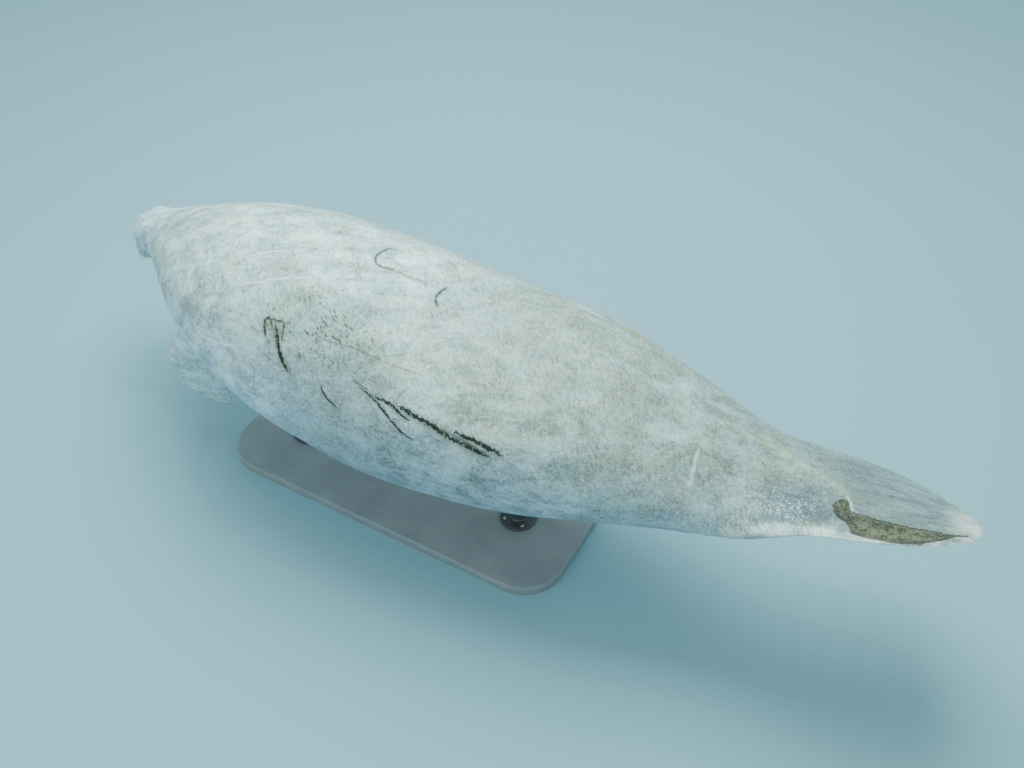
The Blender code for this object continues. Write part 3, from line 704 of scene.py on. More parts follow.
def add_piece(name, surface, materials, replaces=(), smooth_under=None):
    """The surface as a finished piece of the model: its mesh, point values, materials and place in the frame."""
    mesh = bpy.data.meshes.new(name)
    mesh.from_pydata(surface.points.tolist(), [], surface.quads.tolist() + surface.triangles.tolist())
    mesh.shade_smooth()
    if smooth_under:
        mesh.set_sharp_from_angle(angle=np.radians(smooth_under))
    for field, values in surface.fields.items():
        if field == "material":
            continue
        kind, key = ("FLOAT_VECTOR", "vector") if values.ndim == 2 else ("FLOAT", "value")
        attribute = mesh.attributes.new(field, kind, "POINT")
        attribute.data.foreach_set(key, np.ascontiguousarray(values, np.float32).ravel())
    for material in materials:
        mesh.materials.append(material)
    if "material" in surface.fields:
        corners = np.concatenate([surface.quads[:, 0], surface.triangles[:, 0]])
        mesh.polygons.foreach_set("material_index", surface.fields["material"][corners].astype(np.int32))
    mesh.validate()
    piece = bpy.data.objects.new(name, mesh)
    bpy.context.scene.collection.objects.link(piece)
    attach(piece, "root")
    if replaces:
        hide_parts(*replaces)
    return piece


def surface_of(name):
    """A finished piece read back as a surface, with the outward direction of each point."""
    mesh = bpy.data.objects[name].data
    points = np.empty(len(mesh.vertices) * 3, np.float32)
    mesh.vertices.foreach_get("co", points)
    fields = {}
    for field in mesh.attributes:
        if field.domain == "POINT" and field.data_type == "FLOAT":
            fields[field.name] = np.empty(len(mesh.vertices), np.float32)
            field.data.foreach_get("value", fields[field.name])
    starts = np.empty(len(mesh.polygons), np.int32)
    mesh.polygons.foreach_get("loop_start", starts)
    totals = np.empty(len(mesh.polygons), np.int32)
    mesh.polygons.foreach_get("loop_total", totals)
    corners = np.empty(len(mesh.loops), np.int32)
    mesh.loops.foreach_get("vertex_index", corners)
    quads = corners[starts[totals == 4][:, None] + np.arange(4)]
    surface = Surface(points.reshape(-1, 3), quads, **fields)
    return surface, surface.normals()


def ring_shares():
    """Shares of the skin's rings, set so that from one ring to the next no point moves farther than the
    wanted spacing: the largest movement over the spacing is summed along the body and cut into equal steps."""
    ends = np.geomspace(1e-7, 1e-3, 240)
    dense = np.concatenate([ends, np.linspace(1e-3, 0.999, 5000)[1:], 1 - ends[-2::-1]])
    rings = plain_skin(dense[:, None], np.arange(0, 360, 15.0))
    moved = np.linalg.norm(np.diff(rings, axis=0), axis=-1).max(axis=1)
    spacing = np.interp((dense[1:] + dense[:-1]) / 2, *zip(*RING_SPACING))
    steps = np.concatenate([[0], np.cumsum(moved / spacing)])
    count = int(steps[-1])
    return np.interp(np.arange(1, count) * steps[-1] / count, steps, dense)


def degree_size(place):
    """The length of one degree round the section at a place."""
    ring = plain_skin(np.float64(place[0]), np.array([place[1] - 2.0, place[1] + 2.0]))
    return np.linalg.norm(ring[1] - ring[0]) / 4


def gathered(share, turn):
    """Each grid place moved towards the middle of an eye or nostril by GATHER times its offset times exp(-d²),
    so that the grid is denser there and stays in order. Towards the snout's middle this fades away."""
    for at, toward, reach in GATHER_PLACES:
        per_degree = degree_size((at, toward))
        for side_turn in both_sides(toward):
            along, around = (share - at) * LENGTH, wrapped(turn - side_turn) * per_degree
            near = GATHER * np.exp(-(along**2 + around**2) / reach**2) * eased(0.0, 0.008, share)
            share, turn = share - along / LENGTH * near, turn - around / per_degree * near
    return share, turn


def body_grid(columns):
    """The body as a grid of rings and columns, closed at both ends, with a patch left out for each flipper and
    each eye. It returns the surface and the loops of point numbers round the patches, flippers first."""
    shares, turns = ring_shares(), np.arange(columns) * 360.0 / columns
    share, turn = gathered(*np.meshgrid(shares, turns, indexing="ij"))
    count = share.size
    index = np.arange(count).reshape(share.shape)
    after = np.roll(index, -1, axis=1)
    quads = np.stack([index[:-1], index[1:], after[1:], after[:-1]], -1)
    kept = np.ones(quads.shape[:2], bool)
    join = np.zeros(share.shape)
    loops = []
    patches = [(*place, *JOIN_REACH) for place in JOIN_PLACES]
    for side_turn in both_sides(EYE_PLACE[1]):
        patches.append((EYE_PLACE[0], side_turn, EYE_PATCH / LENGTH, EYE_PATCH / degree_size(EYE_PLACE)))
    for number, (side_share, side_turn, share_reach, turn_reach) in enumerate(patches):
        rows = np.flatnonzero(np.abs(shares - side_share) < share_reach)
        across = np.flatnonzero(np.abs(wrapped(turns - side_turn)) < turn_reach)
        top, bottom, start, stop = rows[0], rows[-1], across[0], across[-1]
        kept[top:bottom, start:stop] = False
        loops.append(
            np.concatenate(
                [
                    index[top:bottom, start],
                    index[bottom, start:stop],
                    index[bottom:top:-1, stop],
                    index[top, stop:start:-1],
                ]
            )
        )
        if number < len(JOIN_PLACES):
            ring, column = np.ogrid[: share.shape[0], : share.shape[1]]
            off = np.maximum(np.maximum(top - ring, ring - bottom), np.maximum(start - column, column - stop))
            join = np.maximum(join, np.clip(1 - off / 5, 0, 1) * (off >= 0))
    first = np.stack([np.full(columns, count), index[0], after[0]], -1)
    last = np.stack([np.full(columns, count + 1), after[-1], index[-1]], -1)
    ends = [skin(np.float64(1e-6), np.float64(90)), spine(np.float64(1.0))]
    points = np.concatenate([skin(share, turn).reshape(-1, 3), ends])
    fields = {
        "share": np.append(share.ravel(), [0, 1]),
        "turn": np.append(turn.ravel(), [90, 90]),
        "limb": np.zeros(count + 2),
        "across": np.zeros(count + 2),
        "face": np.zeros(count + 2),
        "join": np.append(join.ravel(), [0, 0]),
    }
    return Surface(points, quads[kept], np.concatenate([first, last]), **fields), loops


def flipper_patch(surface, loop, side):
    """A flipper grown from the loop of points round its patch: first a fillet, a cubic curve from each loop
    point that leaves along the skin and arrives along the flipper, and then the flipper's own rings."""
    path, lead, outer = (value[0] for value in flipper_path(side, [JOIN_ROOT]))
    base, normal = surface.points[loop], surface.normals()[loop]
    half, thick = (spline(FLIPPER_SECTIONS, JOIN_ROOT, column) for column in (1, 2))
    turns = np.unwrap(np.arctan2((base - path) @ outer / thick, (base - path) @ lead / half))
    way = np.sign(turns[-1] - turns[0])
    even = turns.mean() + way * 2 * np.pi * (np.arange(len(loop)) / len(loop) - 0.5)
    start = flipper_surface(side, [JOIN_END], turns[None])[0]
    slope = start - flipper_surface(side, [JOIN_END - 0.01], turns[None])[0]
    reach = np.linalg.norm(start - base, axis=1, keepdims=True)
    leave = (start - base) - normal * np.sum((start - base) * normal, axis=1, keepdims=True)
    leave = unit(leave) * reach * 0.9
    arrive = unit(slope) * reach * 0.9
    u = np.linspace(0, 1, 15)[1:, None, None]
    fillet = (
        (2 * u**3 - 3 * u**2 + 1) * base
        + (u**3 - 2 * u**2 + u) * leave
        + (3 * u**2 - 2 * u**3) * start
        + (u**3 - u**2) * arrive
    )
    near = np.linspace(JOIN_END, FLIPPER_ROUND_START, 32)[1:-1]
    far = FLIPPER_ROUND_START + (1 - FLIPPER_ROUND_START) * np.sin(np.radians(np.linspace(0, 89, 26)))
    shares = np.concatenate([near, far])
    settle = eased(JOIN_END, 0.75, shares)[:, None]
    blade_turns = turns * (1 - settle) + even * settle
    rings = np.concatenate([fillet, flipper_surface(side, shares, blade_turns)])
    tip = flipper_path(side, [1.0])[0]
    count, around = rings.shape[:2]
    first = len(surface.points)
    index = np.concatenate([loop[None], first + np.arange(count * around).reshape(count, around)])
    after = np.roll(index, -1, axis=1)
    quads = np.stack([index[:-1], after[:-1], after[1:], index[1:]], -1).reshape(-1, 4)
    cap = np.stack([index[-1], after[-1], np.full(around, first + count * around)], -1)
    blend = np.clip(u[:, :, 0], 0, 1)
    limb = np.concatenate([np.broadcast_to(blend * JOIN_END, fillet.shape[:2]), shares[:, None] + 0 * blade_turns])
    all_turns = np.concatenate([np.broadcast_to(turns, fillet.shape[:2]), blade_turns])
    strength = np.concatenate([np.broadcast_to(1 - blend**4, fillet.shape[:2]), 0 * blade_turns])
    centre = {"share": JOIN_PLACES[side][0], "turn": JOIN_PLACES[side][1] % 360}
    fade = np.concatenate([1 - blend + 0 * turns, 0 * blade_turns])
    values = {
        name: fade * surface.fields[name][loop] + (1 - fade) * middle for name, middle in centre.items()
    }
    values |= {
        "limb": limb,
        "across": np.cos(all_turns) * (1 - fade),
        "face": np.sin(all_turns) * (1 - fade),
        "join": strength,
    }
    surface.points = np.concatenate([surface.points, rings.reshape(-1, 3), tip])
    surface.quads = np.concatenate([surface.quads, quads])
    surface.triangles = np.concatenate([surface.triangles, cap])
    for name, value in values.items():
        surface.fields[name] = np.concatenate([surface.fields[name], value.ravel(), value[-1:].mean(axis=1)])


def eye_patch(surface, loop, side, face):
    """The skin round an eye as rings that shrink from the patch's edge to the eye's middle and turn from that
    square into the ellipse of the opening. Their shares and turns are found by straight steps, repeated."""
    centre, tail, up, _ = tangent_frame(EYE_PLACE, side)
    offset = surface.points[loop] - centre
    radius, angle = np.hypot(offset @ tail, offset @ up), np.unwrap(np.arctan2(offset @ up, offset @ tail))
    even = angle.mean() + np.sign(angle[-1] - angle[0]) * 2 * np.pi * (np.arange(len(loop)) / len(loop) - 0.5)
    wide, flat = radius.mean(), face.eye_slit / face.eye_opening
    rim = face.eye_opening
    sizes = np.concatenate(
        [
            np.linspace(wide, 1.16 * rim, 14)[1:-1],
            np.linspace(1.16 * rim, 0.82 * rim, 15),
            np.linspace(0.82 * rim, 0.05 * rim, 6)[1:],
        ]
    )[:, None]
    rounded = eased(wide, 1.5 * rim, sizes)
    reach = sizes * (radius / wide * (1 - rounded) + rounded)
    toward = angle * (1 - rounded) + even * rounded
    x = reach * np.cos(toward)
    y = reach * np.sin(toward) * (1 - (1 - flat) * eased(wide, 1.3 * rim, sizes))
    x, y = np.append(x.ravel(), 0.0), np.append(y.ravel(), 0.0)
    at = np.array([EYE_PLACE[0], both_sides(EYE_PLACE[1])[side]])[:, None] * np.ones(x.size)
    steps = np.array([2e-4, 0.1])
    moved = [(skin(at[0, 0] + a, at[1, 0] + b) - centre) for a, b in ((steps[0], 0), (0, steps[1]))]
    slopes = np.array([[move @ axis for move in moved] for axis in (tail, up)]) / steps
    for _ in range(5):
        missing = np.stack([x, y]) - np.stack([(skin(*at) - centre) @ axis for axis in (tail, up)])
        at = at + np.linalg.solve(slopes, missing)
    count, around = len(sizes), len(loop)
    first = len(surface.points)
    index = np.concatenate([loop[None], first + np.arange(count * around).reshape(count, around)])
    after = np.roll(index, -1, axis=1)
    quads = np.stack([index[:-1], after[:-1], after[1:], index[1:]], -1).reshape(-1, 4)
    cap = np.stack([index[-1], after[-1], np.full(around, first + count * around)], -1)
    surface.points = np.concatenate([surface.points, skin(*at)])
    surface.quads = np.concatenate([surface.quads, quads])
    surface.triangles = np.concatenate([surface.triangles, cap])
    for name, values in surface.fields.items():
        added = {"share": at[0], "turn": at[1]}.get(name, np.zeros(x.size))
        surface.fields[name] = np.concatenate([values, added])


def drop_loose_points(surface):
    """The surface without the points that no face uses."""
    used = np.zeros(len(surface.points), bool)
    used[surface.quads] = True
    used[surface.triangles] = True
    number = np.cumsum(used) - 1
    fields = {name: values[used] for name, values in surface.fields.items()}
    return Surface(surface.points[used], number[surface.quads], number[surface.triangles], **fields)


def folds(share, turn, wander):
    """For each row of FOLDS a groove, -exp(-d²), with a lower swell behind it, weaker away from its deepest turn."""
    total = np.zeros(share.shape)
    for at, width, depth, middle, spread in FOLDS:
        strength = depth * bell(wrapped(turn - middle), 0.0, spread)
        along = (share - at) * LENGTH + wander * 1.6 * width
        total += strength * (0.5 * bell(along, 1.9 * width, 1.5 * width) - bell(along, 0.0, width))
    return total


def lid_relief(points, side, face):
    """Lids over the eye: close to the opening the skin follows the ball at the margin's distance, farther out
    it eases back with rings and rays of wrinkles, and inside the opening it drops into the ball. It also gives
    the painted shade in these wrinkles and along the edge of the opening."""
    centre, tail, up, _ = tangent_frame(EYE_PLACE, side)
    x, y = (points - centre) @ tail, (points - centre) @ up
    apart = np.hypot(x, y)
    ball = np.sqrt(np.maximum(EYE_RADIUS**2 - apart**2, 0)) - EYE_DEPTH
    cover = (np.maximum(ball, 0) + face.lid_margin) * eased(0.0235, 0.0095, apart)
    around = np.arctan2(y, x)
    opening = np.hypot(x / face.eye_opening, y / face.eye_slit)
    ringed = np.cos((opening - 1.0) * 2 * np.pi / 0.52 + 0.9 * np.cos(3 * around + 1))
    ruffle = 0.00085 * ringed * eased(1.12, 1.4, opening) * eased(0.032, 0.018, apart)
    rays = 0.00085 * np.cos(13 * around + 2 * np.sin(2 * around)) * bell(apart, 0.0175, 0.0065)
    inside = eased(1.04, 0.90, opening)
    brow = 0.0022 * bell(y, 0.017, 0.006) * bell(x, 0.0, 0.024)
    bag = 0.0018 * bell(y, -0.016, 0.005) * bell(x, 0.002, 0.020)
    # Painted shade in the lids' wrinkles and along the edge of the opening.
    lid_shade = np.clip(-(ruffle + rays) / 0.0014, 0, 1) + 1.6 * bell(opening, 0.98, 0.10)
    return (cover + ruffle + rays + brow + bag) * (1 - inside) - 0.0085 * inside, lid_shade


def nostril_relief(points, side, face):
    """A crescent slit: a bell-shaped groove along an arc, a raised rim outside it and the valve's dome inside."""
    centre, _, _, normal = tangent_frame(NOSTRIL_PLACE, side)
    _, (forward, left, _) = head_frame()
    bulge = -forward * NOSTRIL_BULGE[0] + left * NOSTRIL_BULGE[1] * (-1 if side else 1)
    bulge = unit(bulge - normal * (bulge @ normal))
    aside = np.cross(normal, bulge)
    middle = centre - bulge * NOSTRIL_ARC * 0.75
    x, y = (points - middle) @ bulge, (points - middle) @ aside
    apart, toward = np.hypot(x, y), np.degrees(np.abs(np.arctan2(y, x)))
    ends = eased(NOSTRIL_SPREAD + 14, NOSTRIL_SPREAD - 22, toward)
    slit = bell(apart, NOSTRIL_ARC, 0.0034) * ends
    rim = 0.0030 * bell(apart, NOSTRIL_ARC + 0.0088, 0.0052) * eased(110, 50, toward)
    valve = 0.0026 * bell(apart, NOSTRIL_ARC - 0.0085, 0.0060) * eased(100, 40, toward)
    return rim + valve - face.nostril_depth * slit, slit


def face_relief(points, share, turn, sizes, face):
    """Relief of the head along its outward direction, how much painted shade each point gets in its creases, and how
    fleshy each point is.
    """
    forward, left, up = in_head(points)
    off = off_mouth(forward, left, up)
    opened, front = mouth_masks(forward, left, up)
    head = eased(0.165, 0.12, share)
    line = bell(off, 0.0, 0.0040) * opened
    cleft = bell(left, 0.0, 0.0030) * eased(0.002, 0.012, off) * eased(0.0, 0.03, forward) * eased(0.03, -0.02, up)
    relief = -0.0085 * line - 0.0050 * cleft
    # Painted shade: these values darken the colour in the line of the mouth, the lip's cleft, the face's wrinkles, the
    # folds at the mouth's corners, the nostril slits, the lids' opening and the ear holes.
    crease = 1.6 * line + 0.9 * cleft
    lips = bell(off, 0.026, 0.030) * opened * eased(-0.055, 0.02, forward)
    chin = eased(0.0, 0.012, -off) * eased(-0.06, 0.0, forward) * opened
    pad = np.maximum(lips, chin)
    warped = points + 0.006 * np.stack([lattice_noise(points, 0.03, seed) for seed in (31, 32, 33)], -1)
    fine = valleys(warped, (0.013, 0.020, 0.020), 41) + 0.7 * valleys(warped, (0.021, 0.012, 0.012), 42)
    coarse = valleys(warped, (0.030, 0.055, 0.055), 43, 0.16)
    pole = np.linalg.norm(points - skin(np.float64(1e-6), np.float64(90)), axis=-1)
    wrinkled = (0.55 + 0.45 * lattice_noise(points, 0.07, 44)) * head * eased(0.010, 0.030, pole)
    relief -= sizes.face_wrinkle_depth * wrinkled * (0.6 * fine + 1.5 * coarse)
    crease += wrinkled * (0.30 * fine + 0.5 * coarse)
    dimples = lattice_noise(points, 0.0075, 45)
    relief += 0.0006 * dimples * pad
    corner_fold = bell(off, 0.017, 0.0035) * eased(0.0, -0.05, forward) * eased(MOUTH_BACK - 0.05, MOUTH_BACK, forward)
    relief -= 0.0028 * corner_fold * eased(0.0, -0.03, up)
    crease += 0.7 * corner_fold
    for number, side_name in enumerate(SIDES):
        near = (left > -0.02) if number == 0 else (left < 0.02)
        near = near * eased(0.13, 0.11, share)
        lids, margin = lid_relief(points, number, face)
        nose, slit = nostril_relief(points, number, face)
        centre, _, _, _ = tangent_frame(EYE_PLACE, number)
        round_eye = eased(0.045, 0.036, np.linalg.norm(points - centre, axis=-1))
        relief = relief * (1 - 0.8 * round_eye * near) + lids * round_eye * near
        centre, _, _, _ = tangent_frame(NOSTRIL_PLACE, number)
        round_nose = eased(0.050, 0.040, np.linalg.norm(points - centre, axis=-1))
        relief += nose * round_nose * near
        centre, _, _, _ = tangent_frame(EAR_PLACE, number)
        ear = np.linalg.norm(points - centre, axis=-1)
        relief += (0.0012 * bell(ear, 0.0065, 0.0030) - 0.0032 * bell(ear, 0.0, 0.0026)) * (share < 0.16)
        crease += 1.6 * slit * round_nose * near + 0.7 * margin * round_eye * near + 1.4 * bell(ear, 0.0, 0.0035)
    return relief * eased(0.165, 0.15, share), crease * eased(0.165, 0.15, share), pad


def region_depth(points, share, turn, outline):
    """How deep inside the outline each point lies, in metres, or below 0 outside it. A point is inside if a line
    of growing share from it crosses the outline an odd number of times."""
    corners = np.array([*outline, outline[0]])
    turn = wrapped(turn - 30.0) + 30.0
    inside = np.zeros(len(points), bool)
    for (share_1, turn_1), (share_2, turn_2) in zip(corners[:-1], corners[1:]):
        spans = (turn_1 > turn) != (turn_2 > turn)
        crossing = share_1 + (turn - turn_1) / (turn_2 - turn_1 + 1e-12) * (share_2 - share_1)
        inside ^= spans & (share < crossing)
    at = np.linspace(0, len(outline), 12 * len(outline))
    line = skin(np.interp(at, range(len(corners)), corners[:, 0]), np.interp(at, range(len(corners)), corners[:, 1]))
    gap = np.full(len(points), 1.0)
    near = np.flatnonzero(np.linalg.norm(points - line.mean(axis=0), axis=1) < 0.5)
    gap[near] = np.linalg.norm(points[near, None] - line, axis=-1).min(axis=1)
    return np.where(inside, gap, -gap)


def line_of(places):
    """A smooth line on the skin through its places, as points in space."""
    table = [(k, *place) for k, place in enumerate(places)]
    at = np.linspace(0, len(places) - 1, 24 * len(places))
    return skin(spline(table, at, 1), spline(table, at, 2))


def band(points, half_width, strength, places):
    """A soft band along a line: the strength times exp(-d²) with the distance d in half widths."""
    line = line_of(places)
    result = np.zeros(len(points))
    near = np.flatnonzero(np.linalg.norm(points - line.mean(axis=0), axis=1) < 0.45)
    gap = np.linalg.norm(points[near, None] - line, axis=-1).min(axis=1)
    result[near] = strength * bell(gap, 0.0, half_width)
    return result


def tail_relief(points, share, turn, strip, sizes):
    """The ridges on the back of the tail, faint rays along the paddle, the dished left half of its upper side
    and the crest beside it, the thinning towards the tip, and the wandering of its edge."""
    back, side = np.sin(np.radians(turn)), np.cos(np.radians(turn))
    ridge = sum(band(points, *streak) for streak in STREAKS)
    paddle = eased(TAIL_ROOT, 0.87, share)
    across = side * spline(SECTIONS, share, 1)
    rayed = np.stack([share * LENGTH * 0.22, across, np.sign(back)], -1)
    rays = lattice_noise(rayed, (0.06, 0.011, 1.0), 51) + 0.6 * lattice_noise(rayed, (0.05, 0.024, 1.0), 52)
    rim = bell(np.abs(side), 1.0, 0.035) * paddle
    tip = eased(0.962, 1.0, share)
    edge = np.maximum(rim, tip)
    wave = lattice_noise(points, 0.055, 53) + 0.55 * lattice_noise(points, 0.020, 54)
    dished = 0.0050 * bell(strip, -0.007, 0.009) * (back > 0.2) - 0.0035 * eased(0.0, 0.028, strip)
    dished *= eased(0.86, 0.89, share) * eased(0.995, 0.96, share)
    thinned = -0.0055 * eased(0.965, 1.0, share) ** 2 * np.abs(back) ** 0.5
    relief = sizes.ridge_height * ridge + 0.0008 * rays * paddle * (1 - edge) + dished + thinned
    return relief + sizes.edge_wave * wave * edge, edge, ridge


def flipper_relief(points, limb, across, face):
    """Ridges of the digits on the flipper's outer face, cross wrinkles near its base, and rims round the nails."""
    blade = eased(0.30, 0.42, limb)
    fanned = across + 0.10 * (limb - 0.6)
    digits = sum(bell(fanned, at, 0.085) for at in (-0.62, -0.22, 0.18, 0.58))
    relief = 0.0017 * digits * eased(0.42, 0.62, limb) * eased(1.0, 0.90, limb) * np.abs(face) * blade
    along = np.stack([limb * 0.5, across * 0.08, np.sign(face)], -1)
    cross = valleys(along, (0.013, 0.060, 1.0), 61, 0.3) * eased(0.14, 0.30, limb) * eased(0.62, 0.40, limb)
    relief -= 0.0013 * cross
    rim = np.zeros(len(points))
    for side in range(2):
        for share, toward in NAIL_PLACES:
            place = flipper_surface(side, [share], np.array([[np.arccos(toward)]]))[0, 0]
            apart = np.linalg.norm(points - place, axis=-1)
            rim += 0.0012 * bell(apart, 0.0125, 0.0030)
    return relief + rim * (limb > 0.5), cross


def mark_field(points, normals, marks):
    """For each point: the distance across the nearest mark in half widths, signed by side, how far along the
    mark it lies, from -1 at one end to 1 at the other, and the mark's strength, down to 0 away from it."""
    best = np.full(len(points), 1e9)
    field = np.zeros((len(points), 3))
    field[:, 0] = 9.0
    for strength, half_width, places in marks:
        line = line_of(places)
        along = unit(np.gradient(line, axis=0))
        run = np.concatenate([[0], np.cumsum(np.linalg.norm(np.diff(line, axis=0), axis=1))])
        chosen = np.flatnonzero(np.linalg.norm(points - line[len(line) // 2], axis=1) < run[-1] + 0.08)
        gaps = np.linalg.norm(points[chosen, None] - line, axis=-1)
        nearest = gaps.argmin(axis=1)
        gap = gaps.min(axis=1)
        closer = gap < best[chosen]
        chosen, nearest, gap = chosen[closer], nearest[closer], gap[closer]
        offset = points[chosen] - line[nearest]
        aside = np.cross(normals[chosen], along[nearest])
        ahead = run[nearest] + np.sum(offset * along[nearest], axis=1)
        best[chosen] = gap
        field[chosen, 0] = np.sum(offset * aside, axis=1) / half_width
        field[chosen, 1] = 2 * ahead / run[-1] - 1
        field[chosen, 2] = strength * eased(0.034, 0.020, gap)
    return field


def tints(points, share, turn, limb, strip, edge, ridge, muzzle, colours):
    """The skin's colour at each point, before its fine grain, and how strongly dark dashes, the net and the
    wisps show there. Broad soft areas are mixed one over the other, their edges broken up by noise, and the
    lower sides are painted darker, partly as shade."""
    back, left = np.sin(np.radians(turn)), np.cos(np.radians(turn))
    body = 1 - eased(0.05, 0.35, limb)
    broad, clouds, blotches = (lattice_noise(points, cell, seed) for cell, seed in ((0.34, 81), (0.15, 82), (0.06, 83)))
    small = lattice_noise(points, 0.028, 84)
    ragged = 0.5 * clouds + 0.45 * blotches + 0.35 * small
    colour = np.broadcast_to(np.array(colours.pale), points.shape).copy()

    def over(weight, name, factor=1.0):
        weight = np.clip(weight, 0, 1)[:, None]
        colour[:] = colour * (1 - weight) + factor * np.array(getattr(colours, name)) * weight

    over(0.65 * eased(-0.2, 0.8, ragged), "grey")
    over(0.40 * eased(0.1, 1.0, clouds + 0.5 * small) * eased(0.1, 0.6, back), "beige")
    high = 0.25 * eased(0.35, 0.8, back) + 0.75 * eased(0.72, 0.97, back + 0.05 * ragged)
    chalky = bell(share, 0.41, 0.15) * high * eased(-0.6, 0.3, ragged)
    crown = bell(share, 0.20, 0.12) * eased(0.30, 0.85, back) * eased(-0.7, 0.6, ragged)
    over(0.75 * chalky + 0.65 * crown, "chalk")
    warm = eased(0.47, 0.57, share) * eased(0.88, 0.76, share) * eased(-0.05, 0.55, back) * eased(-0.9, 0.5, ragged)
    over(0.65 * warm, "beige")
    over(0.60 * eased(0.50, 0.76, share) * eased(-0.2, 0.5, back) * eased(-0.9, 0.6, blotches + broad), "olive")
    over(0.55 * eased(0.64, 0.80, share), "grey", 0.84)
    over(0.60 * eased(0.84, 0.90, share), "grey", 0.64)
    over(0.45 * bell(share, 0.345, 0.040) * bell(turn, 55.0, 16.0), "beige")
    over(0.45 * bell(share, 0.46, 0.09) * bell(turn, 56.0, 18.0) * eased(-0.8, 0.3, ragged), "beige", 0.85)
    over(0.40 * eased(0.76, 0.84, share) * eased(1.0, 0.5, ridge), "grey", 0.72)
    over(0.45 * bell(share, 0.40, 0.06) * bell(turn, 40.0, 20.0) * eased(-0.5, 0.5, ragged), "grey")
    low = eased(0.78, -0.22, back + 0.12 * ragged)
    # The cool grey of the lower sides and belly is partly the skin's own grey and partly painted shade; the next line
    # paints the middle of the lower flank darker still, as shade.
    over(0.92 * low * body, "flank", 1.0 + 0.25 * bell(share, 0.30, 0.12)[:, None])
    over(0.60 * low * eased(0.32, 0.5, share) * eased(0.72, 0.58, share), "flank", 0.56)
    net = bell(share, 0.846, 0.036) * bell(wrapped(turn), 46.0, 24.0) * (1 - 0.8 * eased(-0.02, 0.0, strip))
    over(0.60 * eased(0.85, 0.90, share) * eased(0.0, -0.015, strip), "grey", 0.72)
    over(net * eased(-0.9, 0.1, ragged), "slate")
    over(0.62 * ridge * eased(-1.2, 0.2, ragged), "cream", 0.9)
    cream = band(points, *CREAM) * eased(-0.9, 0.1, 2 * small + blotches)
    over(cream, "chalk", 0.90)
    over(0.6 * cream * eased(-0.4, 0.5, blotches), "cream")
    hook = bell(np.linalg.norm(points - skin(0.3405, 44.0), axis=-1), 0.0, 0.026)
    over(0.42 * hook, "stain")
    over(0.70 * muzzle, "muzzle")
    over(0.85 * edge * body * eased(-1.2, -0.2, ragged), "rim")
    worn = eased(0.25, 0.8, limb) * eased(-0.7, 0.8, ragged)
    over(0.85 * worn, "flank", 1.60)
    over(0.50 * eased(0.16, 0.06, share) * body, "flank", 1.60)
    dashes = bell(share, 0.385, 0.095) * bell(turn, 53.0, 32.0) * eased(-0.8, 0.3, ragged + 0.3)
    grain = np.stack([dashes, net + 0.8 * cream, 0.4 + 0.6 * eased(-0.6, 0.6, broad)], -1)
    return colour, grain


def whole_skin(sizes, face, colours):
    """The finished skin: the grid and flippers, softened where they join, moved along the outward direction by
    lumps, folds and wrinkles, with its colours and marks and the painted shade of its creases."""
    surface, loops = body_grid(sizes.columns)
    for side in range(2):
        flipper_patch(surface, loops[side], side)
        eye_patch(surface, loops[2 + side], side, face)
    surface = drop_loose_points(surface)
    surface.smoothed(surface.fields["join"] * 0.5, 14)
    points, normals = surface.points, surface.normals()
    share, turn, limb = (surface.fields[name] for name in ("share", "turn", "limb"))
    body = 1 - eased(0.0, 0.25, limb)
    back = np.sin(np.radians(turn))
    broad = eased(0.10, 0.20, share) * eased(0.90, 0.78, share) * body
    relief = sizes.lump_height * broad * (lattice_noise(points, 0.27, 1) + 0.45 * lattice_noise(points, 0.12, 2))
    wander = lattice_noise(points, 0.06, 3) + 0.4 * lattice_noise(points, 0.025, 4)
    folded = folds(share, turn, wander) * sizes.fold_strength * body
    crossed = valleys(points, (0.042, 0.10, 0.10), 5, 0.20) + 0.7 * valleys(points, (0.085, 0.05, 0.05), 6, 0.20)
    depth = (0.5 + 0.5 * lattice_noise(points, 0.20, 7)) * eased(0.13, 0.18, share)
    relief += folded - sizes.wrinkle_depth * crossed * depth * (1 - 0.7 * eased(0.80, 0.86, share)) * body
    in_front = np.flatnonzero((share < 0.17) & (limb == 0))
    head_relief, head_crease_shade, pad = face_relief(points[in_front], share[in_front], turn[in_front], sizes, face)
    relief[in_front] += head_relief
    strip = region_depth(points, share, turn, STRIP)
    tail, edge, ridge = tail_relief(points, share, turn, strip, sizes)
    blade, cross = flipper_relief(points, limb, surface.fields["across"], surface.fields["face"])
    relief += tail * body + blade
    # Painted shade: the colour is darkened in the bottoms of folds and wrinkles and in the flippers' cross wrinkles.
    crease = np.clip(-folded / 0.004, 0, 1) + 0.22 * crossed * depth * body + 0.5 * cross
    crease[in_front] += head_crease_shade
    muzzle = np.zeros(len(points))
    muzzle[in_front] = pad
    colour, grain = tints(points, share, turn, limb, strip, edge, ridge, muzzle, colours)
    marks = {f"mark_{number}": mark_field(points, normals, table) for number, table in enumerate(MARKS, 1)}
    surface.points = points + normals * relief[:, None]
    surface.fields = {
        "share": share,
        "limb": limb,
        "back": np.where(limb > 0, back * body, back),
        "left": np.cos(np.radians(turn)) * body,
        "crease": np.clip(crease, 0, 2),
        "muzzle": muzzle,
        "strip": strip,
        "tint": colour,
        "grain": grain,
        **marks,
    }
    return surface


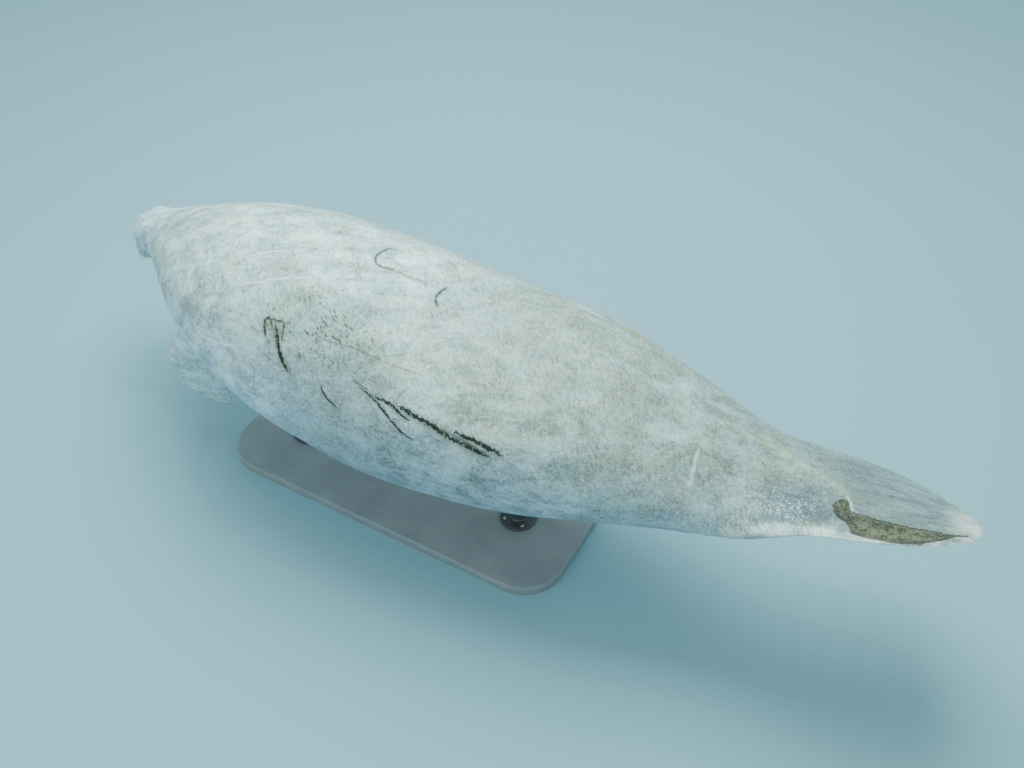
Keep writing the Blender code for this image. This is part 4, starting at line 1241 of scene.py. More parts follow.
class Finish:
    """A material's node tree, with short calls that add a node and give its output."""

    def __init__(self, name):
        self.material = bpy.data.materials.new(name)
        self.material.use_nodes = True
        self.tree = self.material.node_tree
        self.shader = self.tree.nodes["Principled BSDF"]
        self.place = self.tree.nodes.new("ShaderNodeTexCoord").outputs["Object"]

    def feed(self, socket, value):
        """Joins a node's output to the socket, or sets the socket to a number or colour."""
        if isinstance(value, bpy.types.NodeSocket):
            self.tree.links.new(value, socket)
        else:
            socket.default_value = value

    def node(self, kind, inputs, output=0, **settings):
        made = self.tree.nodes.new(kind)
        for key, value in settings.items():
            setattr(made, key, value)
        for key, value in inputs.items():
            self.feed(made.inputs[key], value)
        return made.outputs[output]

    def set(self, **inputs):
        """Sets or joins the shader's sockets, named with underscores for spaces."""
        for key, value in inputs.items():
            if isinstance(value, tuple) and len(value) == 3:
                value = (*value, 1.0)
            self.feed(self.shader.inputs[key.replace("_", " ")], value)

    def stretched(self, scale, place=None):
        return self.node("ShaderNodeMapping", {"Vector": place or self.place, "Scale": scale})

    def split(self, vector):
        """The three parts of a vector."""
        made = self.tree.nodes.new("ShaderNodeSeparateXYZ")
        self.feed(made.inputs[0], vector)
        return made.outputs[0], made.outputs[1], made.outputs[2]

    def turned(self, rotation, size, place=None):
        """The coordinates turned and then divided by a size, so that a pattern is drawn out along a direction."""
        inputs = {"Vector": place or self.place, "Rotation": rotation, "Scale": size}
        return self.node("ShaderNodeMapping", inputs, vector_type="TEXTURE")

    def noise(self, scale, detail=3.0, roughness=0.55, distortion=0.0, place=None):
        inputs = {"Vector": place or self.place, "Scale": scale, "Detail": detail}
        inputs |= {"Roughness": roughness, "Distortion": distortion}
        return self.node("ShaderNodeTexNoise", inputs)

    def warped(self, scale, reach, place=None):
        """The coordinates pushed about by coloured noise, so that a regular pattern becomes uneven."""
        place = place or self.place
        swirl = self.node("ShaderNodeTexNoise", {"Vector": place, "Scale": scale, "Detail": 2.0}, "Color")
        centred = self.node("ShaderNodeVectorMath", {0: swirl, 1: (0.5, 0.5, 0.5)}, operation="SUBTRACT")
        pushed = self.node("ShaderNodeVectorMath", {0: centred, "Scale": reach}, operation="SCALE")
        return self.node("ShaderNodeVectorMath", {0: place, 1: pushed}, operation="ADD")

    def cells(self, scale, place=None, feature="DISTANCE_TO_EDGE", randomness=1.0):
        inputs = {"Vector": place or self.place, "Scale": scale, "Randomness": randomness}
        return self.node("ShaderNodeTexVoronoi", inputs, "Distance", feature=feature)

    def value(self, name):
        """A value that the mesh holds at each point."""
        return self.node("ShaderNodeAttribute", {}, "Fac", attribute_name=name)

    def ramp(self, value, low, high, start=0.0, end=1.0):
        """The value taken smoothly from low..high to start..end."""
        inputs = {"Value": value, "From Min": low, "From Max": high, "To Min": start, "To Max": end}
        return self.node("ShaderNodeMapRange", inputs, interpolation_type="SMOOTHSTEP")

    def maths(self, operation, first, second=0.0):
        return self.node("ShaderNodeMath", {0: first, 1: second}, operation=operation)

    def product(self, *values):
        result = values[0]
        for value in values[1:]:
            result = self.maths("MULTIPLY", result, value)
        return result

    def sum(self, *values):
        result = values[0]
        for value in values[1:]:
            result = self.maths("ADD", result, value)
        return result

    def mix(self, factor, first, second, blend="MIX"):
        """A colour between the first, where the factor is 0, and the second, where it is 1."""
        inputs = {0: factor}
        for key, value in ((6, first), (7, second)):
            inputs[key] = (*value, 1.0) if not isinstance(value, bpy.types.NodeSocket) else value
        return self.node("ShaderNodeMix", inputs, 2, data_type="RGBA", blend_type=blend)

    def bump(self, height, distance, strength=1.0, under=None):
        inputs = {"Height": height, "Distance": distance, "Strength": strength}
        if under:
            inputs["Normal"] = under
        return self.node("ShaderNodeBump", inputs)


def mark_lines(finish, jitter):
    """The dark lines, pale lines and olive stains of the marks: a line is 1 where the distance across it, in
    half widths, plus the sixth power of the place along it is small."""
    dark = pale = stain = None
    for number in range(1, len(MARKS) + 1):
        parts = finish.split(finish.node("ShaderNodeAttribute", {}, "Vector", attribute_name=f"mark_{number}"))
        across = finish.maths("ABSOLUTE", finish.sum(parts[0], jitter))
        taper = finish.maths("POWER", finish.maths("ABSOLUTE", parts[1]), 6.0)
        line = finish.ramp(finish.sum(across, taper), 1.35, 0.75)
        near = finish.ramp(finish.sum(across, finish.maths("MULTIPLY", taper, 2.0)), 4.0, 0.8)
        strength = finish.maths("MAXIMUM", parts[2], 0.0)
        found = finish.product(line, strength), finish.product(line, finish.maths("MULTIPLY", parts[2], -1.0))
        found = (*found, finish.product(near, strength))
        if dark is None:
            dark, pale, stain = found
        else:
            dark, pale, stain = (finish.maths("MAXIMUM", *pair) for pair in zip((dark, pale, stain), found))
    return dark, finish.maths("MAXIMUM", pale, 0.0), stain


def skin_finish(colours):
    """The skin: the colours held by its points, streaked and speckled by stretched noise, with a netted patch on
    the stock, a brown green area on the paddle, marks, fine wrinkles, pebbles and pores. Shade is painted into
    the creases, the wrinkle lines and the gaps between pebbles, and a highlight is painted beside the paddle's
    brown green area."""
    finish = Finish("manatee skin")
    grain = finish.split(finish.node("ShaderNodeAttribute", {}, "Vector", attribute_name="grain"))
    tint = finish.node("ShaderNodeAttribute", {}, "Vector", attribute_name="tint")
    crease, muzzle, strip = finish.value("crease"), finish.value("muzzle"), finish.value("strip")
    warped, curled = finish.warped(22.0, 0.016), finish.warped(55.0, 0.008)
    streaks = finish.noise(15.0, 8.0, 0.80, 0.25, finish.turned((0.0, 0.0, 0.35), (1.8, 1.0, 1.0), warped))
    hues = finish.noise(17.0, 7.0, 0.78, 0.0, finish.turned((0.4, 1.1, 0.7), (1.0, 1.0, 1.4)))
    strokes = finish.noise(115.0, 3.0, 0.66, 0.4, finish.turned((0.0, 0.3, -0.9), (2.4, 1.0, 1.0), warped))
    spots = finish.cells(125.0, finish.turned((0.0, 0.2, -0.6), (3.0, 0.85, 0.85), warped), "F1")
    pebbles = finish.cells(230.0, finish.turned((0.0, 0.0, 0.2), (1.0, 1.35, 1.2), curled), "F1")
    network = finish.cells(92.0, finish.turned((0.1, 0.0, -0.2), (0.7, 1.6, 1.5), curled))

    wisp = finish.ramp(streaks, 0.36, 0.64)
    hue = finish.ramp(hues, 0.36, 0.64)
    stroke = finish.ramp(strokes, 0.28, 0.72)
    between = finish.ramp(pebbles, 0.2, 0.75)
    # Painted shade: the wrinkle lines and the gaps between pebbles, sunk by the bump below, are also coloured darker.
    lines = finish.product(finish.ramp(network, 0.13, 0.0), finish.ramp(hues, 0.36, 0.60))
    shade = finish.sum(
        0.49,
        finish.product(wisp, 0.84, grain[2]),
        finish.product(stroke, 0.46),
        finish.product(between, -0.15),
        finish.product(lines, -0.16),
    )
    base = finish.node("ShaderNodeVectorMath", {0: tint, "Scale": shade}, operation="SCALE")
    base = finish.mix(1.0, base, finish.mix(hue, (0.93, 1.0, 1.03), (1.05, 1.0, 0.88)), "MULTIPLY")
    area = finish.sum(strip, finish.maths("MULTIPLY", finish.sum(strokes, -0.5), 0.016))
    inside = finish.ramp(area, -0.002, 0.003)
    patchy = finish.ramp(finish.sum(streaks, finish.product(strokes, 1.3), finish.product(strip, 4.0)), 1.10, 1.44)
    mottled = finish.mix(patchy, tuple(colours.strip), tuple(colours.moss))
    base = finish.mix(finish.product(inside, 0.96), base, mottled)
    # Painted highlight: a pale border in the chalk colour just outside the brown green area, beside its hook.
    beside = finish.product(finish.ramp(area, -0.009, -0.005), finish.ramp(area, 0.0, -0.003))
    share = finish.value("share")
    hooked = finish.product(finish.ramp(share, 0.887, 0.890), finish.ramp(share, 0.910, 0.900))
    hooked = finish.product(hooked, finish.ramp(finish.value("back"), 0.66, 0.72))
    base = finish.mix(finish.product(beside, hooked, 0.5), base, tuple(colours.chalk))
    dashes = finish.ramp(finish.sum(spots, finish.product(grain[0], -0.31), finish.product(stroke, 0.30)), 0.22, 0.08)
    base = finish.mix(finish.product(dashes, grain[0], 0.92), base, tuple(colours.fleck))
    fleck = finish.ramp(finish.sum(pebbles, finish.product(stroke, -0.42)), 0.16, -0.02)
    flecks = finish.product(fleck, grain[1], finish.ramp(streaks, 0.38, 0.52))
    base = finish.mix(flecks, base, tuple(colours.chalk))

    jitter = finish.sum(finish.maths("MULTIPLY", finish.sum(strokes, -0.5), 5.5), finish.product(wisp, 0.5), -0.25)
    dark, pale, stain = mark_lines(finish, jitter)
    dark = finish.product(dark, finish.ramp(finish.sum(strokes, finish.product(streaks, 0.8)), 0.72, 0.80))
    # Pale lines in the scar colour: healed scars, and one painted highlight on the head.
    base = finish.mix(pale, base, tuple(colours.scar))
    # Painted shade in the creases held by the points.
    base = finish.mix(finish.ramp(crease, 0.15, 1.5, 0.0, 0.80), base, tuple(colours.crease))
    base = finish.mix(finish.product(stain, 0.60), base, tuple(colours.stain))
    # Dark lines in the mark colour: healed marks, and one painted shadow along the paddle's brown green area.
    base = finish.mix(dark, base, tuple(colours.mark))

    height = finish.sum(
        finish.product(lines, -0.75),
        finish.product(between, -0.45),
        finish.product(stroke, 0.35),
        finish.product(wisp, 0.40),
        finish.product(dark, -1.4),
        finish.product(spots, muzzle, 0.6),
    )
    finish.set(Base_Color=base, Roughness=finish.ramp(strokes, 0.3, 0.7, 0.48, 0.66))
    finish.set(Normal=finish.bump(height, 0.0012, 0.9))
    finish.set(Specular_IOR_Level=0.42, Coat_Weight=0.10, Coat_Roughness=0.32)
    return finish.material


def eye_finish(colours):
    """A wet, almost black eye: a black pupil, a dark brown iris with rays, and a darker white of the eye."""
    finish = Finish("wet dark eye")
    off_axis = finish.value("off_axis")
    rays = finish.noise(900.0, 2.0, 0.6)
    iris = finish.mix(finish.ramp(rays, 0.35, 0.7), tuple(colours.iris), tuple(2.2 * c for c in colours.iris))
    ball = finish.mix(finish.ramp(off_axis, 0.50, 0.62), iris, (0.018, 0.014, 0.012))
    ball = finish.mix(finish.ramp(off_axis, 0.24, 0.18), ball, (0.003, 0.003, 0.004))
    finish.set(Base_Color=ball, Roughness=finish.ramp(rays, 0.2, 0.8, 0.04, 0.10))
    finish.set(Coat_Weight=1.0, Coat_Roughness=0.03, Specular_IOR_Level=0.6)
    return finish.material


def nail_finish(colours):
    """Horn: pale, streaked along the nail, a little polished."""
    finish = Finish("pale nail")
    streaks = finish.noise(420.0, 3.0, 0.6, 0.0, finish.stretched((1.0, 1.0, 0.18)))
    dirt = finish.noise(160.0, 3.0)
    brown = tuple(0.55 * c for c in colours.nail)
    base = finish.mix(finish.ramp(streaks, 0.35, 0.65), brown, tuple(colours.nail))
    base = finish.mix(finish.product(finish.ramp(dirt, 0.5, 0.7), 0.3), base, (0.16, 0.14, 0.09))
    finish.set(Base_Color=base, Roughness=finish.ramp(dirt, 0.3, 0.7, 0.34, 0.5))
    finish.set(Normal=finish.bump(streaks, 0.0005, 0.6), Specular_IOR_Level=0.5)
    return finish.material


def bristle_finish(colours):
    """Stiff straw-coloured hair, darker in places."""
    finish = Finish("bristle")
    shade = finish.noise(160.0, 2.0)
    dark = tuple(0.45 * c for c in colours.bristle)
    finish.set(Base_Color=finish.mix(finish.ramp(shade, 0.35, 0.65), dark, tuple(colours.bristle)))
    finish.set(Roughness=finish.ramp(shade, 0.3, 0.7, 0.35, 0.5), Specular_IOR_Level=0.5)
    return finish.material


def paint_finish(name, colour_value, roughness, grain, metallic=0.0):
    """Sprayed paint: a fine orange peel, slight clouding of the colour and duller handled spots."""
    finish = Finish(name)
    peel = finish.noise(grain, 3.0, 0.5)
    cloud = finish.noise(6.0, 4.0, 0.6)
    dust = finish.noise(55.0, 4.0, 0.6)
    lighter = tuple(min(1.0, 1.18 * c) for c in colour_value)
    base = finish.mix(finish.ramp(cloud, 0.35, 0.65), tuple(colour_value), lighter)
    base = finish.mix(finish.product(finish.ramp(dust, 0.56, 0.72), 0.18), base, (0.45, 0.45, 0.43))
    rough = finish.ramp(cloud, 0.3, 0.7, roughness - 0.06, roughness + 0.08)
    finish.set(Base_Color=base, Roughness=rough, Normal=finish.bump(peel, 0.0003, 0.35), Metallic=metallic)
    return finish.material


def rubber_finish(stand):
    """Matt black rubber with fine pores."""
    finish = Finish("black rubber pad")
    pores = finish.noise(700.0, 3.0, 0.6)
    grey = tuple(2.5 * c for c in stand.pad)
    finish.set(Base_Color=finish.mix(finish.ramp(pores, 0.4, 0.7), tuple(stand.pad), grey))
    finish.set(Roughness=finish.ramp(pores, 0.3, 0.7, 0.75, 0.9), Normal=finish.bump(pores, 0.0004, 0.5))
    return finish.material


def steel_finish(stand):
    """Brushed steel of the screws."""
    finish = Finish("brushed steel")
    brushed = finish.noise(900.0, 2.0, 0.5, 0.0, finish.stretched((1.0, 0.06, 1.0)))
    finish.set(Base_Color=finish.mix(brushed, tuple(stand.screw), tuple(0.7 * c for c in stand.screw)))
    finish.set(Roughness=finish.ramp(brushed, 0.3, 0.7, 0.25, 0.42), Metallic=1.0)
    return finish.material


def floor_finish(studio):
    """A plain pale floor with a faint unevenness."""
    finish = Finish("pale floor")
    cloud = finish.noise(0.8, 2.0)
    darker = tuple(0.97 * c for c in studio.floor)
    finish.set(Base_Color=finish.mix(cloud, darker, tuple(studio.floor)), Roughness=0.85, Specular_IOR_Level=0.2)
    return finish.material


def eyeball(side):
    """A ball turned about the outward direction, its cornea swelling by a bell over the pupil. It holds at each
    point the angle off that axis."""
    centre, tail, up, normal = tangent_frame(EYE_PLACE, side)
    tilt = np.radians(np.linspace(2, 178, 48))
    swell = EYE_RADIUS * (1 + 0.05 * bell(tilt, 0.0, 0.5))
    surface = revolved(np.stack([swell * np.sin(tilt), swell * -np.cos(tilt)], -1)[::-1][:, :] * (1, -1), 64)
    axes = np.stack([tail, np.cross(normal, tail), normal])
    off_axis = np.arccos(np.clip(surface.points[:, 2] / np.linalg.norm(surface.points, axis=1), -1, 1))
    surface.points = surface.points @ axes + centre - normal * EYE_DEPTH
    surface.fields = {"off_axis": off_axis}
    return outward_facing(surface)


def outward_facing(surface):
    """The surface with its faces turned to point out, judged by the sign of its volume."""
    corners = surface.points[surface.quads] - surface.points.mean(axis=0)
    volume = np.einsum("ij,ij->i", np.cross(corners[:, 1] - corners[:, 0], corners[:, 2] - corners[:, 0]), corners[:, 0])
    if volume.sum() < 0:
        surface.quads, surface.triangles = surface.quads[:, ::-1], surface.triangles[:, ::-1]
    return surface


def nail(side, place):
    """A shield of horn: an egg whose half sizes are those of the nail, blunter at its free end, ridged along
    its length, and lifted a little off the flipper at that end."""
    share, toward = place
    spot = flipper_surface(side, [share], np.array([[np.arccos(toward)]]))[0, 0]
    path, lead, outer = (value[0] for value in flipper_path(side, [share]))
    ahead = flipper_path(side, [share + 0.01])[0][0] - path
    ahead = unit(ahead - outer * (ahead @ outer))
    tilt = np.radians(np.linspace(3, 177, 26))
    surface = revolved(np.stack([np.sin(tilt), -np.cos(tilt)], -1), 36)
    across, high, along = surface.points.T
    blunt = np.sign(along) * np.abs(along) ** np.where(along > 0, 0.72, 1.0)
    ridged = 1 + 0.035 * np.cos(across * 26) * (high > 0)
    x, y = blunt * NAIL_SIZE[0] * 1.12, across * NAIL_SIZE[1] * (1 + 0.10 * blunt)
    z = high * NAIL_SIZE[2] * 0.62 * ridged * (1 + 0.15 * blunt) + 0.0008 * blunt - 0.0002
    surface.points = spot + x[:, None] * ahead + y[:, None] * lead + z[:, None] * outer
    return outward_facing(surface)


def scattered(surface, normals, weight, count, seed):
    """Roots drawn at random on the surface's faces, as often as a face's area times its mean weight says, with
    their outward directions and the values held there."""
    rng = np.random.default_rng(seed)
    corners = surface.points[surface.quads]
    area = np.linalg.norm(np.cross(corners[:, 2] - corners[:, 0], corners[:, 3] - corners[:, 1]), axis=1) / 2
    chance = area * weight[surface.quads].mean(axis=1)
    chosen = surface.quads[rng.choice(len(chance), count, p=chance / chance.sum())]
    u, v = rng.uniform(0, 1, (2, count, 1))
    share = np.concatenate([(1 - u) * (1 - v), u * (1 - v), u * v, (1 - u) * v], axis=1)

    def at(values):
        return np.einsum("ij,ij...->i...", share, values[chosen])

    return at(surface.points), unit(at(normals)), {name: at(values) for name, values in surface.fields.items()}, rng


def hair_surface(roots, start, bend, lengths, radius, steps):
    """Tapered three-sided hairs as one mesh: each hair's middle line is root + L(s start + s² bend), its radius
    falls as 1 - 0.85 s, and it ends in a point. The small patch of the bake map at each root's place is added
    later by add_bake_map."""
    count = len(roots)
    s = np.linspace(0, 1, steps + 1)[:-1]
    line = roots[:, None] + lengths[:, None, None] * (
        s[:, None] * start[:, None] + (s**2)[:, None] * bend[:, None]
    )
    aside = unit(np.cross(start, bend + (0.01, 0.02, 0.03)))
    other = np.cross(unit(start), aside)
    angles = np.arange(3) * 2 * np.pi / 3
    ring = aside[:, None] * np.cos(angles)[:, None] + other[:, None] * np.sin(angles)[:, None]
    wide = radius[:, None] * (1 - 0.85 * s)
    rings = line[:, :, None] + ring[:, None] * wide[:, :, None, None]
    tips = roots + lengths[:, None] * (start + bend)
    points = np.concatenate([rings.reshape(count, -1, 3), tips[:, None]], axis=1).reshape(-1, 3)
    base = np.arange(steps * 3).reshape(steps, 3)
    after = np.roll(base, -1, axis=1)
    quads = np.stack([base[:-1], after[:-1], after[1:], base[1:]], -1).reshape(-1, 4)
    tip = np.full(3, steps * 3)
    fans = np.concatenate([np.stack([base[-1], after[-1], tip], -1), base[0][None, ::-1]])
    each = (np.arange(count) * (steps * 3 + 1))[:, None, None]
    return Surface(points, (quads + each).reshape(-1, 4), (fans + each).reshape(-1, 3)), steps * 3 + 1


def add_bake_map(piece, where, per_hair):
    """A UV map in which each hair is a patch 0.003 across at its root's place: (turn / 360, share)."""
    mesh = piece.data
    corners = np.empty(len(mesh.loops), np.int32)
    mesh.loops.foreach_get("vertex_index", corners)
    hair, part = corners // per_hair, corners % per_hair
    patch = np.stack([(part % 3) / 3, part / per_hair], -1) * 0.003
    layer = mesh.uv_layers.new(name="OFBake")
    layer.data.foreach_set("uv", (where[hair] + patch).astype(np.float32).ravel())


def grow_hairs(name, weight, count, seed, shape, material):
    """Hairs of one kind over the skin, as one piece. The shape gives starts, bends, lengths and radii."""
    surface, normals = surface_of("skin")
    roots, outs, values, rng = scattered(surface, normals, weight(surface), count, seed)
    start, bend, lengths, radius, steps = shape(roots, outs, values, rng)
    made, per_hair = hair_surface(roots - outs * 0.0015, start, bend, lengths, radius, steps)
    piece = add_piece(name, made, [material])
    turn = np.degrees(np.arctan2(values["back"], values["left"])) % 360
    add_bake_map(piece, np.stack([0.02 + 0.95 * turn / 360, 0.02 + 0.95 * values["share"]], -1), per_hair)
    return piece


def belly_height(x, y):
    """The height of the belly's surface over a point of the floor: the spine's height less the section's drop
    times (1 - |offset / half width|^n)^(1/n)."""
    share = BALANCE_SHARE + x / LENGTH
    middle = spine(share)
    power = np.interp(share, *zip(*OUTLINE_POWERS))
    aside = y - middle[..., 1]
    half = np.where(aside < 0, spline(SECTIONS, share, 1), spline(SECTIONS, share, 2))
    offset = np.clip(np.abs(aside) / half, 0, 1)
    return middle[..., 2] - spline(SECTIONS, share, 4) * (1 - offset**power) ** (1 / power)


def rod_surface(centre, top):
    """The rod turned about its own axis: a flange with a rounded edge, a fillet, the shaft, and a head that
    flares as 1 - cos to carry the pad."""
    floor = BASE_SIZE[2] + GAP
    radius, thick = ROD_FLANGE
    edge = np.radians(np.linspace(0, 90, 7))
    rounded = [(radius - 0.003 + 0.003 * np.cos(a), floor + thick - 0.003 + 0.003 * np.sin(a)) for a in edge]
    fillet = np.radians(np.linspace(0, 90, 9))
    foot = [(ROD_RADIUS + 0.006 * (1 - np.sin(a)), floor + thick + 0.006 * (1 - np.cos(a))) for a in fillet]
    t = np.linspace(0, 1, 22)
    flare = np.stack([ROD_RADIUS + (ROD_PAD - ROD_RADIUS) * (1 - np.cos(t * np.pi / 2)) ** 1.1, top - 0.055 + 0.050 * t], -1)
    lip = [(ROD_PAD + 0.001, top - 0.0035), (ROD_PAD, top - 0.001), (ROD_PAD - 0.002, top)]
    shaft = [(ROD_RADIUS, z) for z in np.linspace(floor + thick + 0.007, top - 0.056, 12)]
    profile = [(radius, floor), *rounded, *foot, *shaft, *flare, *lip]
    surface = outward_facing(revolved(profile, 96))
    surface.points += (*centre, 0.0)
    return surface


def pad_surface(centre, low, radius):
    """A round rubber pad: its underside is flat, and its upper side follows the belly, sunk into it a little."""
    turns = np.arange(96) * 2 * np.pi / 96
    reach = np.concatenate([np.linspace(0.05, 0.96, 10), [1.0, 1.0, 0.985, 0.95], np.linspace(0.9, 0.05, 12)]) * radius
    level = np.concatenate([np.zeros(10), [0.12, 0.75, 0.93, 1.0], np.ones(12)])
    x = centre[0] + reach[:, None] * np.cos(turns)
    y = centre[1] + reach[:, None] * np.sin(turns)
    high = belly_height(x, y) + 0.005
    z = low + level[:, None] * (high - low)
    ends = [(*centre, low), (*centre, belly_height(*np.array(centre)) + 0.005)]
    return outward_facing(ring_surface(np.stack([x, y, z], -1), *ends))


def screw_surface(centre, height, radius):
    """A domed screw head with a six-sided socket: rings run out over the dome and in again down the socket."""
    dome = np.radians(np.linspace(0, 75, 7))
    outer = [(radius * np.cos(a), height + radius * 0.55 * np.sin(a)) for a in dome]
    top = outer[-1][1]
    profile = [(radius, height - 0.001), *outer, (radius * 0.5, top), (radius * 0.48, top - 0.0012), (0.001, top - 0.0012)]
    surface = revolved(profile, 36)
    points = surface.points
    around = np.arctan2(points[:, 1], points[:, 0])
    inner = np.hypot(points[:, 0], points[:, 1]) < radius * 0.51
    hexagon = np.cos(np.pi / 6) / np.cos((around % (np.pi / 3)) - np.pi / 6)
    points[inner, :2] *= hexagon[inner, None]
    points += (*centre, 0.0)
    return outward_facing(surface)


def base_surface():
    """The base: an outline of straight sides and round corners carried up a profile with a rounded top edge
    and a small one below, each ring drawn in by the profile's inset."""
    long, wide, tall = BASE_SIZE[0] / 2, BASE_SIZE[1] / 2, BASE_SIZE[2]
    quarter = np.linspace(0, 90, 19)
    angles = np.radians(np.concatenate([quarter + 90 * k for k in range(4)]))
    corner_x = np.repeat([1, -1, -1, 1], len(quarter)) * (long - BASE_CORNER)
    corner_y = np.repeat([1, 1, -1, -1], len(quarter)) * (wide - BASE_CORNER)
    turn = np.radians(np.linspace(0, 90, 8))
    upper = np.stack([BASE_EDGE * (1 - np.cos(turn)), tall - BASE_EDGE + BASE_EDGE * np.sin(turn)], -1)
    lower = np.array([(0.0015, 0.0), (0.0004, 0.0004), (0.0, 0.0015)])
    inset, level = np.concatenate([lower, upper, [(0.05, tall), (0.10, tall)]]).T
    reach = BASE_CORNER - inset[:, None]
    rings = np.stack(
        [corner_x + reach * np.cos(angles), corner_y + reach * np.sin(angles), level[:, None] + 0 * angles], -1
    )
    return outward_facing(ring_surface(rings, (0, 0, 0), (0, 0, tall)))


class ManateeSkinOperator(bpy.types.Operator):
    """Draw the whole skin as one closed surface with its folds, wrinkles, face, flippers and paddle"""

    bl_idname = "manatee.skin"
    bl_label = "Skin"

    def execute(self, context):
        scene = context.scene
        surface = whole_skin(scene.manatee_skin, scene.manatee_face, scene.manatee_colours)
        add_piece("skin", surface, [skin_finish(scene.manatee_colours)], FLESH_NODES)
        return {"FINISHED"}


class ManateeEyesOperator(bpy.types.Operator):
    """Set an eye behind the lids on each side"""

    bl_idname = "manatee.eyes"
    bl_label = "Eyes"

    def execute(self, context):
        material = eye_finish(context.scene.manatee_colours)
        for side, name in enumerate(SIDES):
            add_piece(f"eyeball_{name}", eyeball(side), [material], [f"eye_{name}"])
        return {"FINISHED"}


class ManateeNailsOperator(bpy.types.Operator):
    """Set three nails on the outer face of each flipper's tip"""

    bl_idname = "manatee.nails"
    bl_label = "Nails"

    def execute(self, context):
        material = nail_finish(context.scene.manatee_colours)
        for side, name in enumerate(SIDES):
            for number, place in enumerate(NAIL_PLACES, 1):
                piece = f"flipper_nail_{name}_{number}"
                add_piece(piece, nail(side, place), [material], [f"nail_{name}_{number}"])
        return {"FINISHED"}


class ManateeBristlesOperator(bpy.types.Operator):
    """Grow stiff bristles on the lips and chin"""

    bl_idname = "manatee.bristles"
    bl_label = "Bristles"

    def execute(self, context):
        face = context.scene.manatee_face

        def shape(roots, outs, values, rng):
            _, axes = head_frame()
            count = len(roots)
            down = -axes[2] * rng.uniform(0.2, 0.7, (count, 1)) + rng.normal(0, 0.18, (count, 3))
            lengths = face.bristle_length * rng.uniform(0.30, 1.0, count) ** 1.3 * (0.5 + 0.5 * values["muzzle"])
            return unit(outs + 0.35 * down), 0.35 * down, lengths, rng.uniform(0.0003, 0.00065, count), 5

        material = bristle_finish(context.scene.manatee_colours)
        grow_hairs("bristles", lambda s: s.fields["muzzle"] ** 1.3, face.bristles, 71, shape, material)
        return {"FINISHED"}


class ManateeHairsOperator(bpy.types.Operator):
    """Grow sparse fine hairs over the body"""

    bl_idname = "manatee.hairs"
    bl_label = "Hairs"

    def execute(self, context):
        face = context.scene.manatee_face

        def shape(roots, outs, values, rng):
            count = len(roots)
            back = np.array([1.0, 0.0, 0.0]) * rng.uniform(0.4, 1.0, (count, 1)) + rng.normal(0, 0.2, (count, 3))
            lengths = face.hair_length * rng.uniform(0.35, 1.0, count)
            return unit(outs + 0.5 * back), 0.5 * back - 0.2 * outs, lengths, rng.uniform(0.00014, 0.00024, count), 4

        def weight(surface):
            return 0.25 + eased(0.20, 0.05, surface.fields["share"])

        material = bristle_finish(context.scene.manatee_colours)
        grow_hairs("hairs", weight, face.hairs, 72, shape, material)
        return {"FINISHED"}


class ManateeStandOperator(bpy.types.Operator):
    """Build the base, the two rods with their screws, and the pads under the belly"""

    bl_idname = "manatee.stand"
    bl_label = "Stand"

    def execute(self, context):
        stand = context.scene.manatee_stand
        paint = paint_finish("base paint", stand.paint, 0.5, 900.0)
        add_piece("base", base_surface(), [paint], ["stand_base"], 40)
        metal = paint_finish("rod paint", stand.metal, 0.36, 1200.0, 0.4)
        for name, along in ROD_PLACES:
            centre = (along, float(spine(np.float64(BALANCE_SHARE + along / LENGTH))[1]))
            top = float(belly_height(*np.array(centre))) - stand.pad_height
            parts = [rod_surface(centre, top), pad_surface(centre, top, ROD_PAD * 0.965)]
            level = BASE_SIZE[2] + GAP + ROD_FLANGE[1]
            for k in range(4):
                turn = np.pi / 4 + k * np.pi / 2
                spot = (centre[0] + 0.047 * np.cos(turn), centre[1] + 0.047 * np.sin(turn))
                parts.append(screw_surface(spot, level, stand.screw_radius))
            for part, number in zip(parts, (0, 1, 2, 2, 2, 2)):
                part.fields = {"material": np.full(len(part.points), number)}
            materials = [metal, rubber_finish(stand), steel_finish(stand)]
            add_piece(f"rod_{name}", joined(parts), materials, [f"stand_rod_{name}"], 35)
        return {"FINISHED"}


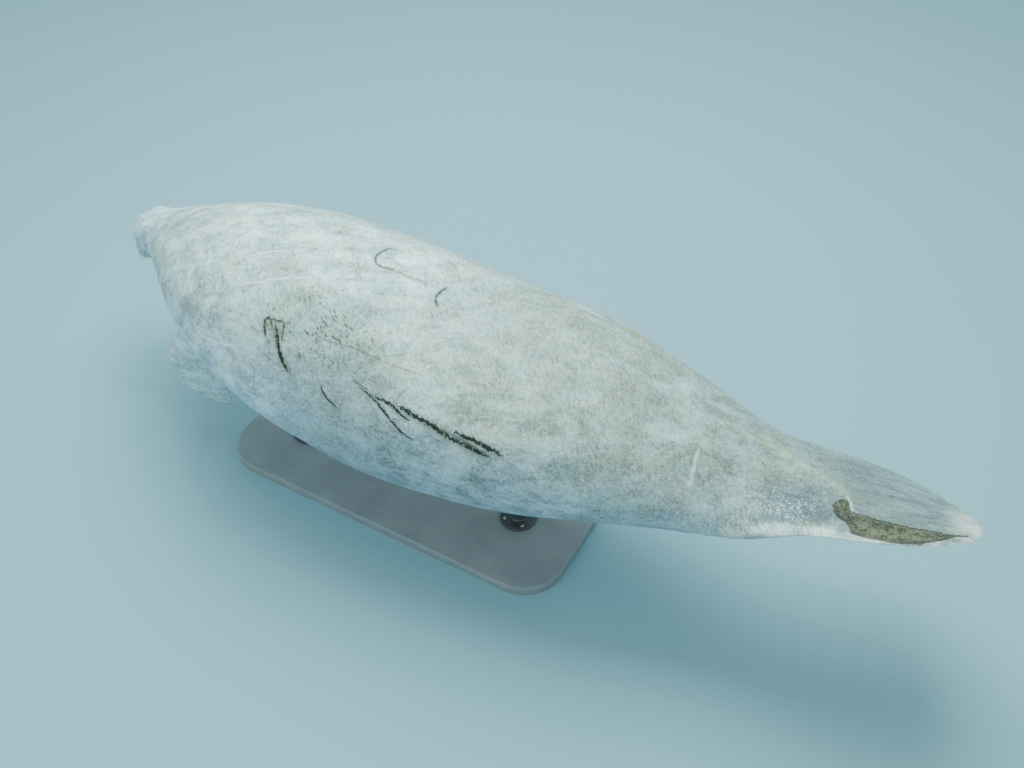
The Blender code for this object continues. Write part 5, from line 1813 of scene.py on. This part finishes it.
class ManateeStageOperator(bpy.types.Operator):
    """Lay the floor, hang the lights and set up the camera"""

    bl_idname = "manatee.stage"
    bl_label = "Stage"

    def execute(self, context):
        studio = context.scene.manatee_studio
        ring = np.radians(np.arange(64) * 360 / 64)
        outline = np.stack([30 * np.cos(ring), 30 * np.sin(ring), 0 * ring], -1)
        mesh = bpy.data.meshes.new("floor")
        mesh.from_pydata(outline.tolist(), [], [list(range(64))])
        mesh.materials.append(floor_finish(studio))
        floor = bpy.data.objects.new("floor", mesh)
        context.scene.collection.objects.link(floor)
        world = bpy.data.worlds.new("even light")
        world.use_nodes = True
        sky = world.node_tree.nodes["Background"]
        sky.inputs["Color"].default_value = (0.73, 0.97, 1.0, 1.0)
        sky.inputs["Strength"].default_value = studio.sky
        context.scene.world = world
        add_light("key", (-0.3, 1.1, 4.6), (0.1, 0.0, 0.6), 3.2, studio.key, (0.78, 1.0, 1.0))
        add_light("fill", (-0.9, -4.2, 2.2), (-0.2, 0.0, 0.6), 2.6, studio.fill, (0.84, 0.97, 1.0))
        azimuth, elevation = np.radians([studio.azimuth, studio.elevation])
        back = Vector(
            (np.sin(azimuth) * np.cos(elevation), -np.cos(azimuth) * np.cos(elevation), np.sin(elevation))
        )
        camera = bpy.data.objects.new("camera", bpy.data.cameras.new("camera"))
        camera.data.lens, camera.data.sensor_width = studio.focal, 36.0
        camera.location = Vector(studio.aim) + back * studio.distance
        camera.rotation_euler = (-back).to_track_quat("-Z", "Y").to_euler()
        context.scene.collection.objects.link(camera)
        context.scene.camera = camera
        return {"FINISHED"}


def add_light(name, place, aim, size, power, tint):
    """A square light turned towards a point."""
    light = bpy.data.lights.new(name, "AREA")
    light.size, light.energy, light.color = size, power, tint
    made = bpy.data.objects.new(name, light)
    made.location = place
    made.rotation_euler = (Vector(aim) - Vector(place)).to_track_quat("-Z", "Y").to_euler()
    bpy.context.scene.collection.objects.link(made)


OPERATORS = (
    ManateeStageOperator,
    ManateeSkinOperator,
    ManateeEyesOperator,
    ManateeNailsOperator,
    ManateeBristlesOperator,
    ManateeHairsOperator,
    ManateeStandOperator,
)


class ManateePanel(bpy.types.Panel):
    """The operators and their settings in the sidebar of the 3D view"""

    bl_idname = "VIEW3D_PT_manatee"
    bl_label = "Display manatee"
    bl_space_type = "VIEW_3D"
    bl_region_type = "UI"
    bl_category = "Manatee"

    def draw(self, context):
        for operator in OPERATORS:
            self.layout.operator(operator.bl_idname)
        for name, group in GROUPS.items():
            box = self.layout.box()
            box.label(text=group.__doc__)
            for setting in group.__annotations__:
                box.prop(getattr(context.scene, name), setting)


def register():
    for kind in (*GROUPS.values(), *OPERATORS, ManateePanel):
        bpy.utils.register_class(kind)
    for name, group in GROUPS.items():
        setattr(bpy.types.Scene, name, bpy.props.PointerProperty(type=group))


def unregister():
    for name in GROUPS:
        delattr(bpy.types.Scene, name)
    for kind in (ManateePanel, *reversed(OPERATORS), *reversed(GROUPS.values())):
        bpy.utils.unregister_class(kind)


def main():
    register()
    bpy.ops.manatee.stage()
    bpy.ops.manatee.skin()
    bpy.ops.manatee.eyes()
    bpy.ops.manatee.nails()
    bpy.ops.manatee.bristles()
    bpy.ops.manatee.hairs()
    bpy.ops.manatee.stand()


if __name__ == "__main__":
    main()
